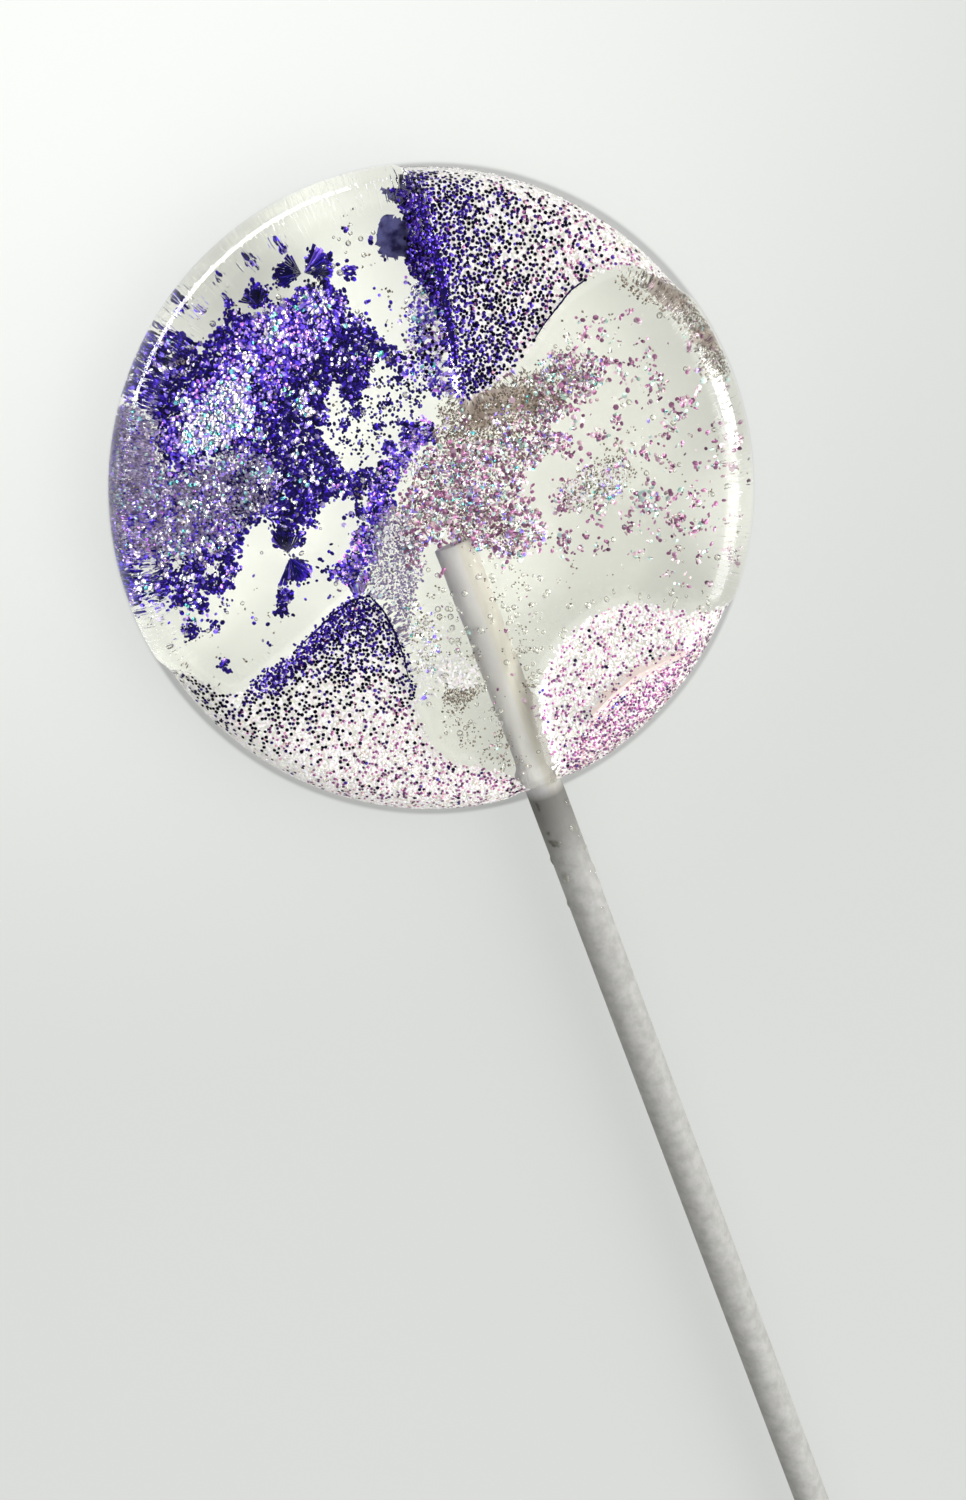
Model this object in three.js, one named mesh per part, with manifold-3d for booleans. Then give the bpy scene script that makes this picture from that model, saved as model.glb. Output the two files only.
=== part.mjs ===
// A clear sugar lollipop: a poured round disc on a rolled paper stick, lying flat with its poured face up.
// Millimetres, +Z up. The origin is the centre of the disc's flat back, and the stick runs along -Y.
import * as THREE from "three";
import { mergeVertices } from "three/addons/utils/BufferGeometryUtils.js";
import Module from "manifold-3d";

// Driving dimensions of the disc.
const DISC_DIAMETER = 50;
const DISC_THICKNESS = 7.5;
const POURED_EDGE_RADIUS = 3.4;
const BACK_EDGE_RADIUS = 1.2;
const CROWN_HEIGHT = 0.35;

// The rim swells a little on one side, because the sugar spread unevenly as it set.
const SWELL_HEIGHT = 0.25;
const SWELL_ANGLE = THREE.MathUtils.degToRad(111);

// Petals are hollows in the poured face, where the last clear layer stopped short.
const PETAL_DEPTH = 0.5;
const PETAL_SLOPE = 1.0;
const PETAL_FADE_LOW = 0.8;
const PETAL_FADE_HIGH = 2.6;

// Driving dimensions of the stick and of its fit in the disc.
const STICK_DIAMETER = 3.2;
const STICK_LENGTH = 114;
const STICK_END_FROM_CENTRE = 3;
const STICK_END_BEVEL = 0.2;
const STICK_CORE_RADIUS = 0.3;
const STICK_CORE_DEPTH = 0.5;
const BORE_GAP = 0.3;

// The rim is drawn in where the stick leaves it.
const NOTCH_DEPTH = 0.8;
const NOTCH_WIDTH = 2.2;

// Fineness of the facets.
const DISC_SIDES = 120;
const STICK_SIDES = 32;
const TOP_RING_STEP = 1.1;
const POURED_EDGE_STEPS = 8;
const BACK_EDGE_STEPS = 3;
const PETAL_OUTLINE_STEPS = 96;
const WELD_TOLERANCE = 1e-4;

const DISC_RADIUS = DISC_DIAMETER / 2;
const STICK_RADIUS = STICK_DIAMETER / 2;
const STICK_HEIGHT = DISC_THICKNESS / 2;

// Each petal is a smooth closed outline through these points, seen from above, and runs out past the rim.
const PETAL_OUTLINES = {
  upper: [
    [4.4, 7.2], [5.0, 10.7], [5.7, 13.9], [6.2, 16.9], [6.4, 21], [7, 28],
    [19, 26], [29, 12], [24, 8.5], [19, 12], [14, 11.4], [10, 8.8], [6.6, 7.5],
  ],
  lower_left: [
    [-8, -3.8], [-10.4, -4.3], [-13, -5.4], [-16, -6.5], [-20, -7.4], [-23, -4.6],
    [-29, -3], [-24, -18], [-12, -28], [-1.5, -29], [-2, -22.4], [-7, -18], [-7.4, -13], [-6.8, -8],
  ],
  lower_right: [
    [1.4, -19.8], [2.3, -15.9], [4.4, -13.6], [8.2, -12], [11.5, -12.3], [15, -14.4],
    [21, -17], [18, -26], [8, -30], [2, -27],
  ],
};

const wasm = await Module();
wasm.setup();

// A closed geometry as a solid that can be cut.
function solidFrom(geometry) {
  const bare = new THREE.BufferGeometry();
  bare.setAttribute("position", geometry.getAttribute("position"));
  bare.setIndex(geometry.index);
  const welded = mergeVertices(bare, WELD_TOLERANCE);
  const corners = welded.index.array;
  const kept = [];
  for (let i = 0; i < corners.length; i += 3) {
    const [a, b, c] = corners.slice(i, i + 3);
    if (a !== b && b !== c && c !== a) kept.push(a, b, c);
  }
  return new wasm.Manifold(
    new wasm.Mesh({
      numProp: 3,
      vertProperties: new Float32Array(welded.attributes.position.array),
      triVerts: new Uint32Array(kept),
    }),
  );
}

// A cut solid as a geometry again.
function geometryFrom(solid) {
  const mesh = solid.getMesh();
  const geometry = new THREE.BufferGeometry();
  geometry.setAttribute("position", new THREE.BufferAttribute(mesh.vertProperties, 3));
  geometry.setIndex(new THREE.BufferAttribute(mesh.triVerts, 1));
  geometry.computeVertexNormals();
  return geometry;
}

// Points of a quarter arc round a centre, from one angle to another, without the first.
function arcPoints(centreX, centreY, radius, fromAngle, toAngle, steps) {
  const points = [];
  for (let i = 1; i <= steps; i++) {
    const angle = fromAngle + ((toAngle - fromAngle) * i) / steps;
    points.push(new THREE.Vector2(centreX + radius * Math.cos(angle), centreY + radius * Math.sin(angle)));
  }
  return points;
}

// Half of the disc's section, from the middle of its back, out round the rim, to the middle of its poured face.
function discSection() {
  const flatRadius = DISC_RADIUS - BACK_EDGE_RADIUS;
  const faceRadius = DISC_RADIUS - POURED_EDGE_RADIUS;
  const faceRimHeight = DISC_THICKNESS - CROWN_HEIGHT;
  const section = [
    new THREE.Vector2(0, 0),
    new THREE.Vector2(flatRadius / 2, 0),
    new THREE.Vector2(flatRadius, 0),
    ...arcPoints(flatRadius, BACK_EDGE_RADIUS, BACK_EDGE_RADIUS, -Math.PI / 2, 0, BACK_EDGE_STEPS),
    ...arcPoints(
      faceRadius, faceRimHeight - POURED_EDGE_RADIUS, POURED_EDGE_RADIUS, 0, Math.PI / 2, POURED_EDGE_STEPS,
    ),
  ];
  const rings = Math.round(faceRadius / TOP_RING_STEP);
  for (let i = rings - 1; i >= 0; i--) {
    const share = i / rings;
    section.push(new THREE.Vector2(faceRadius * share, DISC_THICKNESS - CROWN_HEIGHT * share * share));
  }
  return section;
}

// The petals as fine polygons.
const petals = Object.values(PETAL_OUTLINES).map((points) => {
  const curve = new THREE.CatmullRomCurve3(points.map(([x, y]) => new THREE.Vector3(x, y, 0)), true, "centripetal");
  return curve.getPoints(PETAL_OUTLINE_STEPS).slice(0, -1);
});

// How far a point lies inside a polygon, or outside it where the distance is negative.
function depthInside(polygon, x, y) {
  let inside = false;
  let nearest = Infinity;
  for (let i = 0, j = polygon.length - 1; i < polygon.length; j = i++) {
    const a = polygon[j];
    const b = polygon[i];
    if (a.y > y !== b.y > y && x < a.x + ((b.x - a.x) * (y - a.y)) / (b.y - a.y)) inside = !inside;
    const along = ((x - a.x) * (b.x - a.x) + (y - a.y) * (b.y - a.y)) / ((b.x - a.x) ** 2 + (b.y - a.y) ** 2);
    const share = THREE.MathUtils.clamp(along, 0, 1);
    nearest = Math.min(nearest, Math.hypot(x - a.x - share * (b.x - a.x), y - a.y - share * (b.y - a.y)));
  }
  return inside ? nearest : -nearest;
}

// How far the poured surface sinks below the plain disc at a point of it.
function petalSink(point) {
  const inside = Math.max(...petals.map((petal) => depthInside(petal, point.x, point.y)));
  const share = THREE.MathUtils.smoothstep(inside, -PETAL_SLOPE / 2, PETAL_SLOPE / 2);
  return PETAL_DEPTH * share * THREE.MathUtils.smoothstep(point.z, PETAL_FADE_LOW, PETAL_FADE_HIGH);
}

// How far the rim stands out or is drawn in at a point: the swell on one side, and the notch round the stick.
function rimShift(point) {
  const angle = Math.atan2(point.y, point.x);
  const swell = SWELL_HEIGHT * Math.max(0, Math.cos(angle - SWELL_ANGLE)) ** 2;
  const fromStick = Math.hypot(point.x, point.z - STICK_HEIGHT) / NOTCH_WIDTH;
  const notch = point.y < 0 ? NOTCH_DEPTH * Math.exp(-fromStick * fromStick) : 0;
  const nearRim = THREE.MathUtils.smoothstep(Math.hypot(point.x, point.y), DISC_RADIUS / 2, DISC_RADIUS);
  return (swell - notch) * nearRim;
}

// The poured disc: a turned section with its petals sunk in and its rim made uneven.
function pouredDisc() {
  const geometry = new THREE.LatheGeometry(discSection(), DISC_SIDES);
  geometry.rotateX(Math.PI / 2);
  const position = geometry.getAttribute("position");
  const normal = geometry.getAttribute("normal");
  const point = new THREE.Vector3();
  const outward = new THREE.Vector3();
  const radial = new THREE.Vector3();
  for (let i = 0; i < position.count; i++) {
    point.fromBufferAttribute(position, i);
    outward.fromBufferAttribute(normal, i);
    radial.set(point.x, point.y, 0).normalize();
    const sink = petalSink(point);
    const shift = rimShift(point);
    point.addScaledVector(outward, -sink).addScaledVector(radial, shift);
    position.setXYZ(i, point.x, point.y, point.z);
  }
  return geometry;
}

// A round bar along -Y from the origin, with bevelled ends and a small dimple at each core.
function roundBar(radius, length, bevel, coreRadius, coreDepth) {
  const section = [
    new THREE.Vector2(0, coreDepth),
    new THREE.Vector2(coreRadius, 0),
    new THREE.Vector2(radius - bevel, 0),
    new THREE.Vector2(radius, bevel),
    new THREE.Vector2(radius, length - bevel),
    new THREE.Vector2(radius - bevel, length),
    new THREE.Vector2(coreRadius, length),
    new THREE.Vector2(0, length - coreDepth),
  ];
  return new THREE.LatheGeometry(section, STICK_SIDES).rotateX(Math.PI);
}

// The hole that the stick fills, which runs out through the rim.
function stickBore() {
  const radius = STICK_RADIUS + BORE_GAP;
  const length = DISC_DIAMETER;
  const bore = new THREE.CylinderGeometry(radius, radius, length, STICK_SIDES);
  return bore.translate(0, -STICK_END_FROM_CENTRE + BORE_GAP - length / 2, STICK_HEIGHT);
}

const clearSugar = new THREE.MeshStandardMaterial({
  color: 0xe4e3ea, roughness: 0.06, metalness: 0, transparent: true, opacity: 0.45,
});
const whitePaper = new THREE.MeshStandardMaterial({ color: 0xdcdbd6, roughness: 0.85, metalness: 0 });

const disc = new THREE.Mesh(geometryFrom(solidFrom(pouredDisc()).subtract(solidFrom(stickBore()))), clearSugar);
disc.name = "sugar_disc";

const stick = new THREE.Mesh(
  roundBar(STICK_RADIUS, STICK_LENGTH, STICK_END_BEVEL, STICK_CORE_RADIUS, STICK_CORE_DEPTH),
  whitePaper,
);
stick.name = "paper_stick";
stick.position.set(0, -STICK_END_FROM_CENTRE, STICK_HEIGHT);

const lollipop = new THREE.Group();
lollipop.add(disc, stick);

export default lollipop;
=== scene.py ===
"""A round lollipop of clear poured sugar with glitter sunk in it, on a rolled paper stick.

The file is laid out as an add-on: property groups hold the sizes and colours that a user would change,
operators make the pieces, and a panel lists them. Run as a script, it makes every piece over the solid model.
"""

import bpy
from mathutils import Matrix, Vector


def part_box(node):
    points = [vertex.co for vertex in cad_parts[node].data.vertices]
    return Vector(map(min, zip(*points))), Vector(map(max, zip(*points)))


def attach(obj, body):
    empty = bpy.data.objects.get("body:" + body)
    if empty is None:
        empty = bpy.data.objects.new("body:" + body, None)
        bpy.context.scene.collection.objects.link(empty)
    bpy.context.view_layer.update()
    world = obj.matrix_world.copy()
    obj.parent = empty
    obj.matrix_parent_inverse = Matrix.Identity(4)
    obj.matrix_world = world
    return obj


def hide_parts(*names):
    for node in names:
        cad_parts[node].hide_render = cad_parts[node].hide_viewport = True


bl_info = {
    "name": "Glitter Lollipop",
    "version": (1, 0, 0),
    "blender": (4, 5, 0),
    "location": "3D View > Sidebar > Lollipop",
    "description": "Makes the sugar disc, the paper stick and the glitter of a clear lollipop",
    "category": "Object",
}

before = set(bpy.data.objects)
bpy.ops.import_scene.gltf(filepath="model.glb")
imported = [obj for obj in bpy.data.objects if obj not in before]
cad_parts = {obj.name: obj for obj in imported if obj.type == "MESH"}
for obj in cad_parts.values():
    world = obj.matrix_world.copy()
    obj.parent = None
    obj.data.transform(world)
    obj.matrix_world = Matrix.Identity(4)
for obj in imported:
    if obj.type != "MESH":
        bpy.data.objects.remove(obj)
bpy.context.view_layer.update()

import math
from typing import NamedTuple

import bmesh
import bpy
import numpy as np
from bpy.props import FloatProperty, FloatVectorProperty, IntProperty, PointerProperty
from mathutils import Matrix, Vector

MM = 0.001
BODY = "root"

# Sizes that come from the solid model.
disc_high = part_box("sugar_disc")[1]
stick_low, stick_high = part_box("paper_stick")
DISC_RADIUS = disc_high.x
DISC_THICKNESS = disc_high.z
STICK_RADIUS = stick_high.x
STICK_HEIGHT = (stick_low.z + stick_high.z) / 2
STICK_TOP = stick_high.y
STICK_FOOT = stick_low.y

# The disc's section and its uneven rim, as in the solid model, with softer slopes round the petals.
POURED_EDGE_RADIUS = 3.4 * MM
BACK_EDGE_RADIUS = 1.2 * MM
CROWN_HEIGHT = 0.35 * MM
SWELL_HEIGHT = 0.25 * MM
SWELL_ANGLE = math.radians(111)
PETAL_SLOPE = 1.7 * MM
NOTCH_DEPTH = 0.8 * MM
NOTCH_WIDTH = 2.2 * MM

# Slow waves in the poured face: how fast they run along X and Y, in radians on a millimetre, and their start.
WAVES = ((0.9, 0.5, 0), (0.4, -1.1, 1), (1.7, 1.3, 2))
WAVE_FADE = (0.75 * DISC_RADIUS, 0.88 * DISC_RADIUS)

# Heights on the rim between which the petals with their dust, and the dots on them, fade out.
PETAL_FADE = (0.8 * MM, 2.6 * MM)
DOT_FADE = (3.6 * MM, 6.8 * MM)

# Streaks in the rim start and are full at these distances from the middle, in radii.
STREAK_START = 0.86
STREAK_FULL = 0.92

# Air bubbles: the height of the highest, and how far down they reach.
BUBBLE_LEVEL = 6.2 * MM
BUBBLE_DEPTH = 4.6 * MM
BUBBLE_SEED = 5

# Beads of sugar on the stick: their form against a ball, how deep they sit and how many are lost low down.
BEAD_FORM = (1.5, 0.9, 0.35)
BEAD_DEPTH = 0.15 * MM
BEAD_SEED = 9
BEADS_LOST = 0.8

# The paper's free edge fades in over this width, and the soaked paper between two distances from the rim.
FREE_EDGE_FADE = 0.15 * MM
SOAKED_FROM = -0.2 * MM
SOAKED_TO = 1.2 * MM

# Repeats of the finishes' patterns on a metre.
SMEARS = 160.0
RIPPLES = 420.0
FIBRES = 900.0
FILM_CLOUDS = 1000.0
FLOOR_GRAIN = 30.0

# Parts of the finishes' patterns that count, between nought and one.
SMEAR_RANGE = (0.4, 0.75)
STREAK_RANGE = (0.56, 0.72)
FIBRE_RANGE = (0.35, 0.62)
FILM_RANGE = (0.4, 0.6)

# Heights of the relief in the finishes, and how strongly it shows.
RIPPLE_RELIEF = (0.2 * MM, 0.03)
FIBRE_RELIEF = (0.12 * MM, 0.35)

# Roughness of the finishes, at the smoothest and the roughest spot where there are two numbers.
SUGAR_ROUGHNESS = (0.008, 0.03)
PAPER_ROUGHNESS = (0.75, 0.95)
FLAKE_ROUGHNESS = (0.12, 0.35)
FOLD_ROUGHNESS = 0.35
MATT = 0.9

# Saturation and brightness of the painted rainbow sheen on the flakes' painted glints, and brightness of the
# floor's darker grain.
SHEEN_SATURATION = 0.45
SHEEN_VALUE = 0.95
GRAIN_SHADE = 0.985

# Fineness of the meshes.
DISC_SIDES = 360
BACK_RINGS = 12
BACK_EDGE_STEPS = 6
WALL_STEPS = 6
POURED_EDGE_STEPS = 20
FACE_RINGS = 60
CURVE_STEPS = 8
SHEET_STEP = 0.4 * MM
SHEET_MARGIN = 0.45 * MM
LEAST_COVER = 0.01
STICK_SIDES = 48
STICK_RING_STEP = 0.6 * MM
STICK_END_RINGS = 12
BEAD_SHEET_STEPS = (15, 13)

# Brightness of the sky by the sine of its height, the side where it is brightest, and how far towards that
# side it starts and stops to brighten.
SKY_RING = [(0.0, 0.12), (0.25, 0.3), (0.45, 0.95), (0.85, 1.0), (0.94, 0.15), (1.0, 0.1)]
LIGHT_SIDE = (0.94, -0.34, 0.0)
SKY_SIDE = (-0.7, 0.8)

# Round patches of the floor that glow more or less, by a share, as painted pools of light and painted shade:
# the middle, and the distances where they fade and end. The first lies beyond the disc, and the others only
# show through it.
FAR_POOL = ((-15 * MM, 60 * MM, 0.0), 15 * MM, 105 * MM, 0.53)
NEAR_PATCHES = [
    ((-6 * MM, 6 * MM, 0.0), 6 * MM, 24 * MM, 0.36),
    ((12 * MM, -10 * MM, 0.0), 2 * MM, 9 * MM, -0.16),
    ((23 * MM, -9.5 * MM, 0.0), 2 * MM, 7 * MM, 0.35),
    ((-9 * MM, 23 * MM, 0.0), 3 * MM, 10 * MM, -0.4),
]

# Distances from the middle of the rim's painted shadow between which the painted patches below the disc end.
BELOW_DISC = (0.98 * DISC_RADIUS, 1.02 * DISC_RADIUS)

# Share of the glow that is left in the painted shadow round the disc, by the distance from its middle in
# radii.
RIM_SHADE = [(0.0, 1.0), (0.965, 1.0), (1.005, 0.6), (1.031, 0.52), (1.042, 1.0)]
RIM_SHADE_END = 1.2
RIM_SHADE_MIDDLE = (0.2 * MM, -0.55 * MM, 0.0)

# The lamps: the setting that holds their power, their place and their size.
LAMPS = {
    "Side lamp": ("key", (0.44, -0.07, 0.2), (0.12, 0.3)),
    "Rim lamp": ("rim", (-0.2, 0.46, 0.07), (0.62, 0.1)),
    "Low lamp": ("low", (0.35, -0.22, 0.33), (0.24, 0.3)),
}

# The long side of the camera's sensor, in millimetres, and the nearest that it sees, in metres.
SENSOR_WIDTH = 36.0
NEAREST_SEEN = 0.01

# Hollows in the poured face, as in the solid model: smooth closed outlines, in millimetres.
PETALS = {
    "upper": [
        (4.4, 7.2), (5.0, 10.7), (5.7, 13.9), (6.2, 16.9), (6.4, 21), (7, 28), (19, 26), (29, 12),
        (24, 8.5), (19, 12), (14, 11.4), (10, 8.8), (6.6, 7.5),
    ],
    "lower_left": [
        (-8, -3.8), (-10.4, -4.3), (-13, -5.4), (-16, -6.5), (-20, -7.4), (-23, -4.6), (-29, -3),
        (-24, -18), (-12, -28), (-1.5, -29), (-2, -22.4), (-7, -18), (-7.4, -13), (-6.8, -8),
    ],
    "lower_right": [
        (1.4, -19.8), (2.3, -15.9), (4.4, -13.6), (8.2, -12), (11.5, -12.3), (15, -14.4), (21, -17),
        (18, -26), (8, -30), (2, -27),
    ],
}

# How strongly each petal's border is creased.
CREASES = {"upper": 1.0, "lower_left": 1.0, "lower_right": 0.25}

# The fold that stands up in the lower right petal, and lens-like dimples with their radius, in millimetres.
FOLD_LINE = [(5.4, -19.4), (7.4, -18.4), (9.8, -17.6), (12.0, -17.4), (14.0, -17.4)]
FOLD_WIDTHS = (1.2, 0.8)
DIMPLE_SLOPE = 1.5
DIMPLES = [(-1.5, 19.1, 1.6), (-12.6, 4.5, 1.9), (-11.9, 0.6, 1.7), (-3.0, 17.2, 1.4)]

# Fans of crowded flakes: the knot they spread from and their reach, in millimetres, direction and half angle.
FANS = [
    ((-3.5, 19.6), 1.9, 150, 50),
    ((-3.3, 19.6), 2.3, 8, 48),
    ((-7.3, 18.6), 1.5, 95, 60),
    ((-12.2, 1.1), 1.7, 72, 45),
    ((-12.2, 0.7), 2.3, -85, 42),
    ((-13.0, 4.8), 2.1, 100, 75),
    ((-13.2, 6.9), 1.5, 110, 60),
]
FAN_LEVEL = 4.1 * MM
FAN_RIDGE = 0.12 * MM
FAN_BLADE_TURN = math.radians(8)
FAN_SEED = 3
FAN_BLADE_REACH = (0.75, 1.0)
FAN_TINTS = (0.0, 0.9)

# A fan's blade: its corners after the knot, by shares of a turn to the side, shares of the reach and heights.
FAN_BLADE_CORNERS = ((-0.45, 1.0, 0.0), (0.45, 1.0, 0.0), (0.0, 0.8, FAN_RIDGE))
FAN_BLADE_FACES = ((0, 2, 1), (0, 1, 3), (0, 3, 2), (1, 2, 3))

# Where the glitter drifted before the sugar set: smooth closed outlines, in millimetres.
DRIFTS = {
    "left_cloud": [
        (-17.5, 17.2), (-15.5, 18.5), (-13, 18), (-12, 17), (-10.5, 18), (-9.5, 18.8), (-8.5, 18.4),
        (-7.4, 18), (-5.5, 18.5), (-3.5, 18.7), (-1.6, 18.3), (-1, 17.2), (-1.5, 16.2), (-0.5, 15),
        (0.5, 13), (0.3, 12), (-2, 11.5), (-4, 11.8), (-5, 10.5), (-5.5, 9), (-6.5, 8), (-6, 6),
        (-5, 4.8), (-6, 3.6), (-9, 3), (-10, 2.3), (-12, 3.5), (-13, 4), (-15, 3), (-16, 0.5),
        (-18, -0.5), (-20, -1), (-21, -1.5), (-23, 0), (-25, 0.5), (-26, 6), (-24, 12), (-20.5, 15.5),
    ],
    "window": [(-5, 10.5), (-1, 11), (1.5, 11), (2.5, 8), (-1, 6.5), (-4, 5), (-6, 7)],
    "middle_strip": [
        (1.5, 7), (2, 5.8), (0, 4.4), (-2, 2.8), (-3.5, 0.8), (-5, -1), (-6.5, -2.8), (-7.5, -3.9),
        (-9.5, -3), (-10, -1.5), (-8, -0.5), (-6, 1.5), (-4.5, 3.5), (-2, 5.3), (-0.5, 6.5),
    ],
    "crest": [
        (6.4, 22.5), (6.3, 19), (6.1, 16.9), (5.7, 14), (5.2, 11.5), (4.8, 9.6), (4.3, 9.2), (4.5, 11),
        (4.9, 13.5), (4.8, 15), (4.2, 16.3), (3.9, 17.6), (4.4, 19.3), (5, 20.8), (5.4, 22.5),
    ],
    "crest_side": [
        (6.8, 23), (7.1, 19), (6.9, 16.5), (6.5, 13.5), (6, 11), (5.8, 9), (5.4, 7.6), (4.2, 6.8),
        (3.8, 8), (4.2, 11), (4.6, 13.5), (4, 16.3), (3.7, 17.6), (4.4, 19.3), (5, 23),
    ],
    "black_dots": [(1.4, 11.8), (2.8, 13.2), (4.4, 13.4), (4.7, 12), (4, 10.4), (2, 10)],
    "bright_band": [
        (-2.5, 18.5), (-1, 17), (-3.5, 14), (-7.5, 12.5), (-10.5, 10), (-14.5, 9.5), (-18.5, 10),
        (-16, 12.5), (-12.5, 14.5), (-9.5, 17.5), (-6.5, 18.5),
    ],
    "bright_core": [
        (-17.5, 10.8), (-16.5, 13), (-14.5, 14.6), (-12, 15.4), (-10, 16.8), (-7.5, 17.8), (-4.5, 18.2),
        (-2.5, 17.8), (-1.8, 16.8), (-3.5, 15.8), (-6, 15), (-8.5, 14.2), (-10, 13), (-10.8, 11),
        (-12, 10.2), (-14.5, 10.2),
    ],
    "white_core": [
        (-16.8, 10.8), (-15.8, 12.6), (-14, 13.8), (-12.2, 14.6), (-10.6, 14), (-10.6, 12),
        (-11.4, 10.6), (-13.5, 10.2), (-15, 10.3),
    ],
    "dark_flank": [
        (-9.5, 10.5), (-6.5, 13.2), (-3.5, 14.8), (-0.6, 14.6), (0.4, 12.8), (-2, 11.6), (-4.5, 11.4),
        (-6, 9.4), (-6.6, 7), (-6.2, 5), (-8.5, 4), (-10.5, 5.5), (-9.8, 8),
    ],
    "dark_corner": [(-18.5, 16), (-15.5, 18.2), (-13, 17.5), (-12, 16.3), (-14, 15.2), (-16.5, 14.4)],
    "left_haze": [
        (-21, 15.4), (-18.8, 15.4), (-17.4, 14.4), (-17.6, 12.5), (-18.3, 11), (-18.2, 9.5), (-19, 8),
        (-21.5, 7.5), (-23.5, 8), (-26, 8), (-24, 14),
    ],
    "grey_haze": [
        (-19, 9.6), (-15, 9.8), (-11, 9.2), (-10.4, 7.4), (-11.5, 5), (-14, 4.2), (-17, 3.2), (-20, 3.4),
        (-23, 4.2), (-25, 6.5), (-22, 8.5),
    ],
    "ragged_edge": [
        (-25, 4.4), (-21, 3.6), (-17, 3), (-15, 2.4), (-16, 0), (-18, -1), (-21, -2), (-25, 0),
    ],
    "centre_smoke": [
        (2.5, 7), (7.5, 7.6), (10.5, 7), (12.5, 5.5), (11, 3.5), (8, 3.5), (4.5, 3), (2, 3.5),
    ],
    "centre_cloud": [
        (10.5, 7), (12, 8), (14.5, 7), (15.5, 5), (11.5, 3), (10.5, 2.5), (11.5, 1), (7.5, 0),
        (6.5, -1.5), (7, -5), (4.5, -6), (2, -4.5), (-1.5, -2.5), (-3, -4), (-4, -3), (-3.5, 0.5),
        (-1, 3.5), (2, 5), (6.5, 4),
    ],
    "lower_smoke": [
        (-4, 1.5), (-2.5, 0), (-3, -4), (-5, -6.5), (-6.5, -9.5), (-6.5, -5.5), (-7.5, -4), (-7, -2.5),
    ],
    "pale_trail": [(-5, -6), (-3, -8), (-5, -13.5), (-6.5, -14), (-7, -12.5), (-6.5, -9.5)],
    "right_border": [
        (1.2, -20.5), (1.9, -17), (2.8, -15), (4.4, -13.4), (8.2, -11.8), (8.8, -13), (5.6, -14.6),
        (3.9, -16.8), (3, -20.5),
    ],
    # A foamy patch whose white dust is also a painted highlight.
    "white_patch": [
        (-4.3, -11.2), (-2.6, -11.4), (-2, -12.6), (-2.4, -13.8), (-3.8, -13.6), (-4.8, -12.6),
    ],
    # Painted shadow below the white patch, in grey-brown dust.
    "patch_shade": [(-4.6, -13.4), (-3.2, -14), (-2, -14), (-2.6, -14.8), (-4.2, -14.9), (-5.2, -14.2)],
    "right_flecks": [
        (12, 8.5), (16.5, 9.5), (22, 6.5), (24, -2), (21.5, -11), (17, -14.5), (12, -9), (7.5, -7),
        (9, -0.5),
    ],
    "rim_smoke": [
        (18.5, 11), (21.5, 9.5), (23.5, 8), (25.5, 4), (24, 1.5), (22.5, 2.5), (22.5, 4.5), (20.5, 8.5),
    ],
    "lilac_side": [(3.5, 16.5), (5.5, 14.5), (4.5, 11), (3.5, 7.5), (2, 8.5), (1, 10), (2, 13.5)],
    "smoke_gap": [
        (4.5, 6.6), (7, 6.9), (10, 8), (12.5, 9.8), (14, 10.8), (13, 11.5), (10, 9.6), (6, 8.2),
    ],
    "upper_flecks": [
        (-16, 16.5), (-10, 19.8), (-4, 21.6), (2, 21.6), (5, 20.5), (3, 16), (2, 8), (-4, 8), (-3, 17),
    ],
    "lower_flecks": [(-25, 0), (-16, 2), (-6, 5), (0, 9), (-8, -3), (-14, -5), (-20, -7)],
    "stick_side": [(-2.2, -4), (2.2, -4), (2.6, -24), (-2.6, -24)],
    "stick_clear": [
        (-6, -7), (-3, -5), (2.5, -5), (6, -8), (5, -11.5), (2.5, -14.5), (2, -22), (-2.5, -22),
        (-6, -17),
    ],
    "left_crease": [
        (-7.5, -4.5), (-8, -3.6), (-10.4, -4.1), (-13, -5.2), (-16, -6.3), (-18.5, -7), (-17.5, -8.5),
        (-14.5, -7.8), (-11, -6.5), (-8.5, -6.5),
    ],
    "inner_crease": [(-7.6, -3.9), (-6.4, -8), (-7.0, -13), (-7.6, -13), (-7.2, -8), (-8.2, -4.6)],
    "under_fold": [(3, -21), (8, -18.8), (13, -17.6), (19, -17.5), (18, -26), (8, -30), (2, -27)],
    # Painted shade below the fold, in violet dots.
    "fold_shade": [(4.6, -20.1), (7, -19.4), (9.5, -18.3), (9.3, -18.8), (7.4, -19.9), (5, -20.6)],
    "petal_edge": [
        (2.2, -15.9), (4.3, -13.4), (8.2, -11.6), (11.5, -11.9), (15, -13.9), (18.5, -15.4),
        (18.3, -14.9), (15, -13.2), (11.5, -11.2), (8.2, -10.9), (4, -12.8), (1.7, -15.8),
    ],
    "grey_patch": [(9.5, -1.5), (13, -0.5), (15, -2), (14, -4), (10.5, -4.5), (8.5, -3)],
    "everywhere": [
        (-25, 0), (-17.7, 17.7), (0, 25), (17.7, 17.7), (25, 0), (17.7, -17.7), (0, -25), (-17.7, -17.7),
    ],
}

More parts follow.
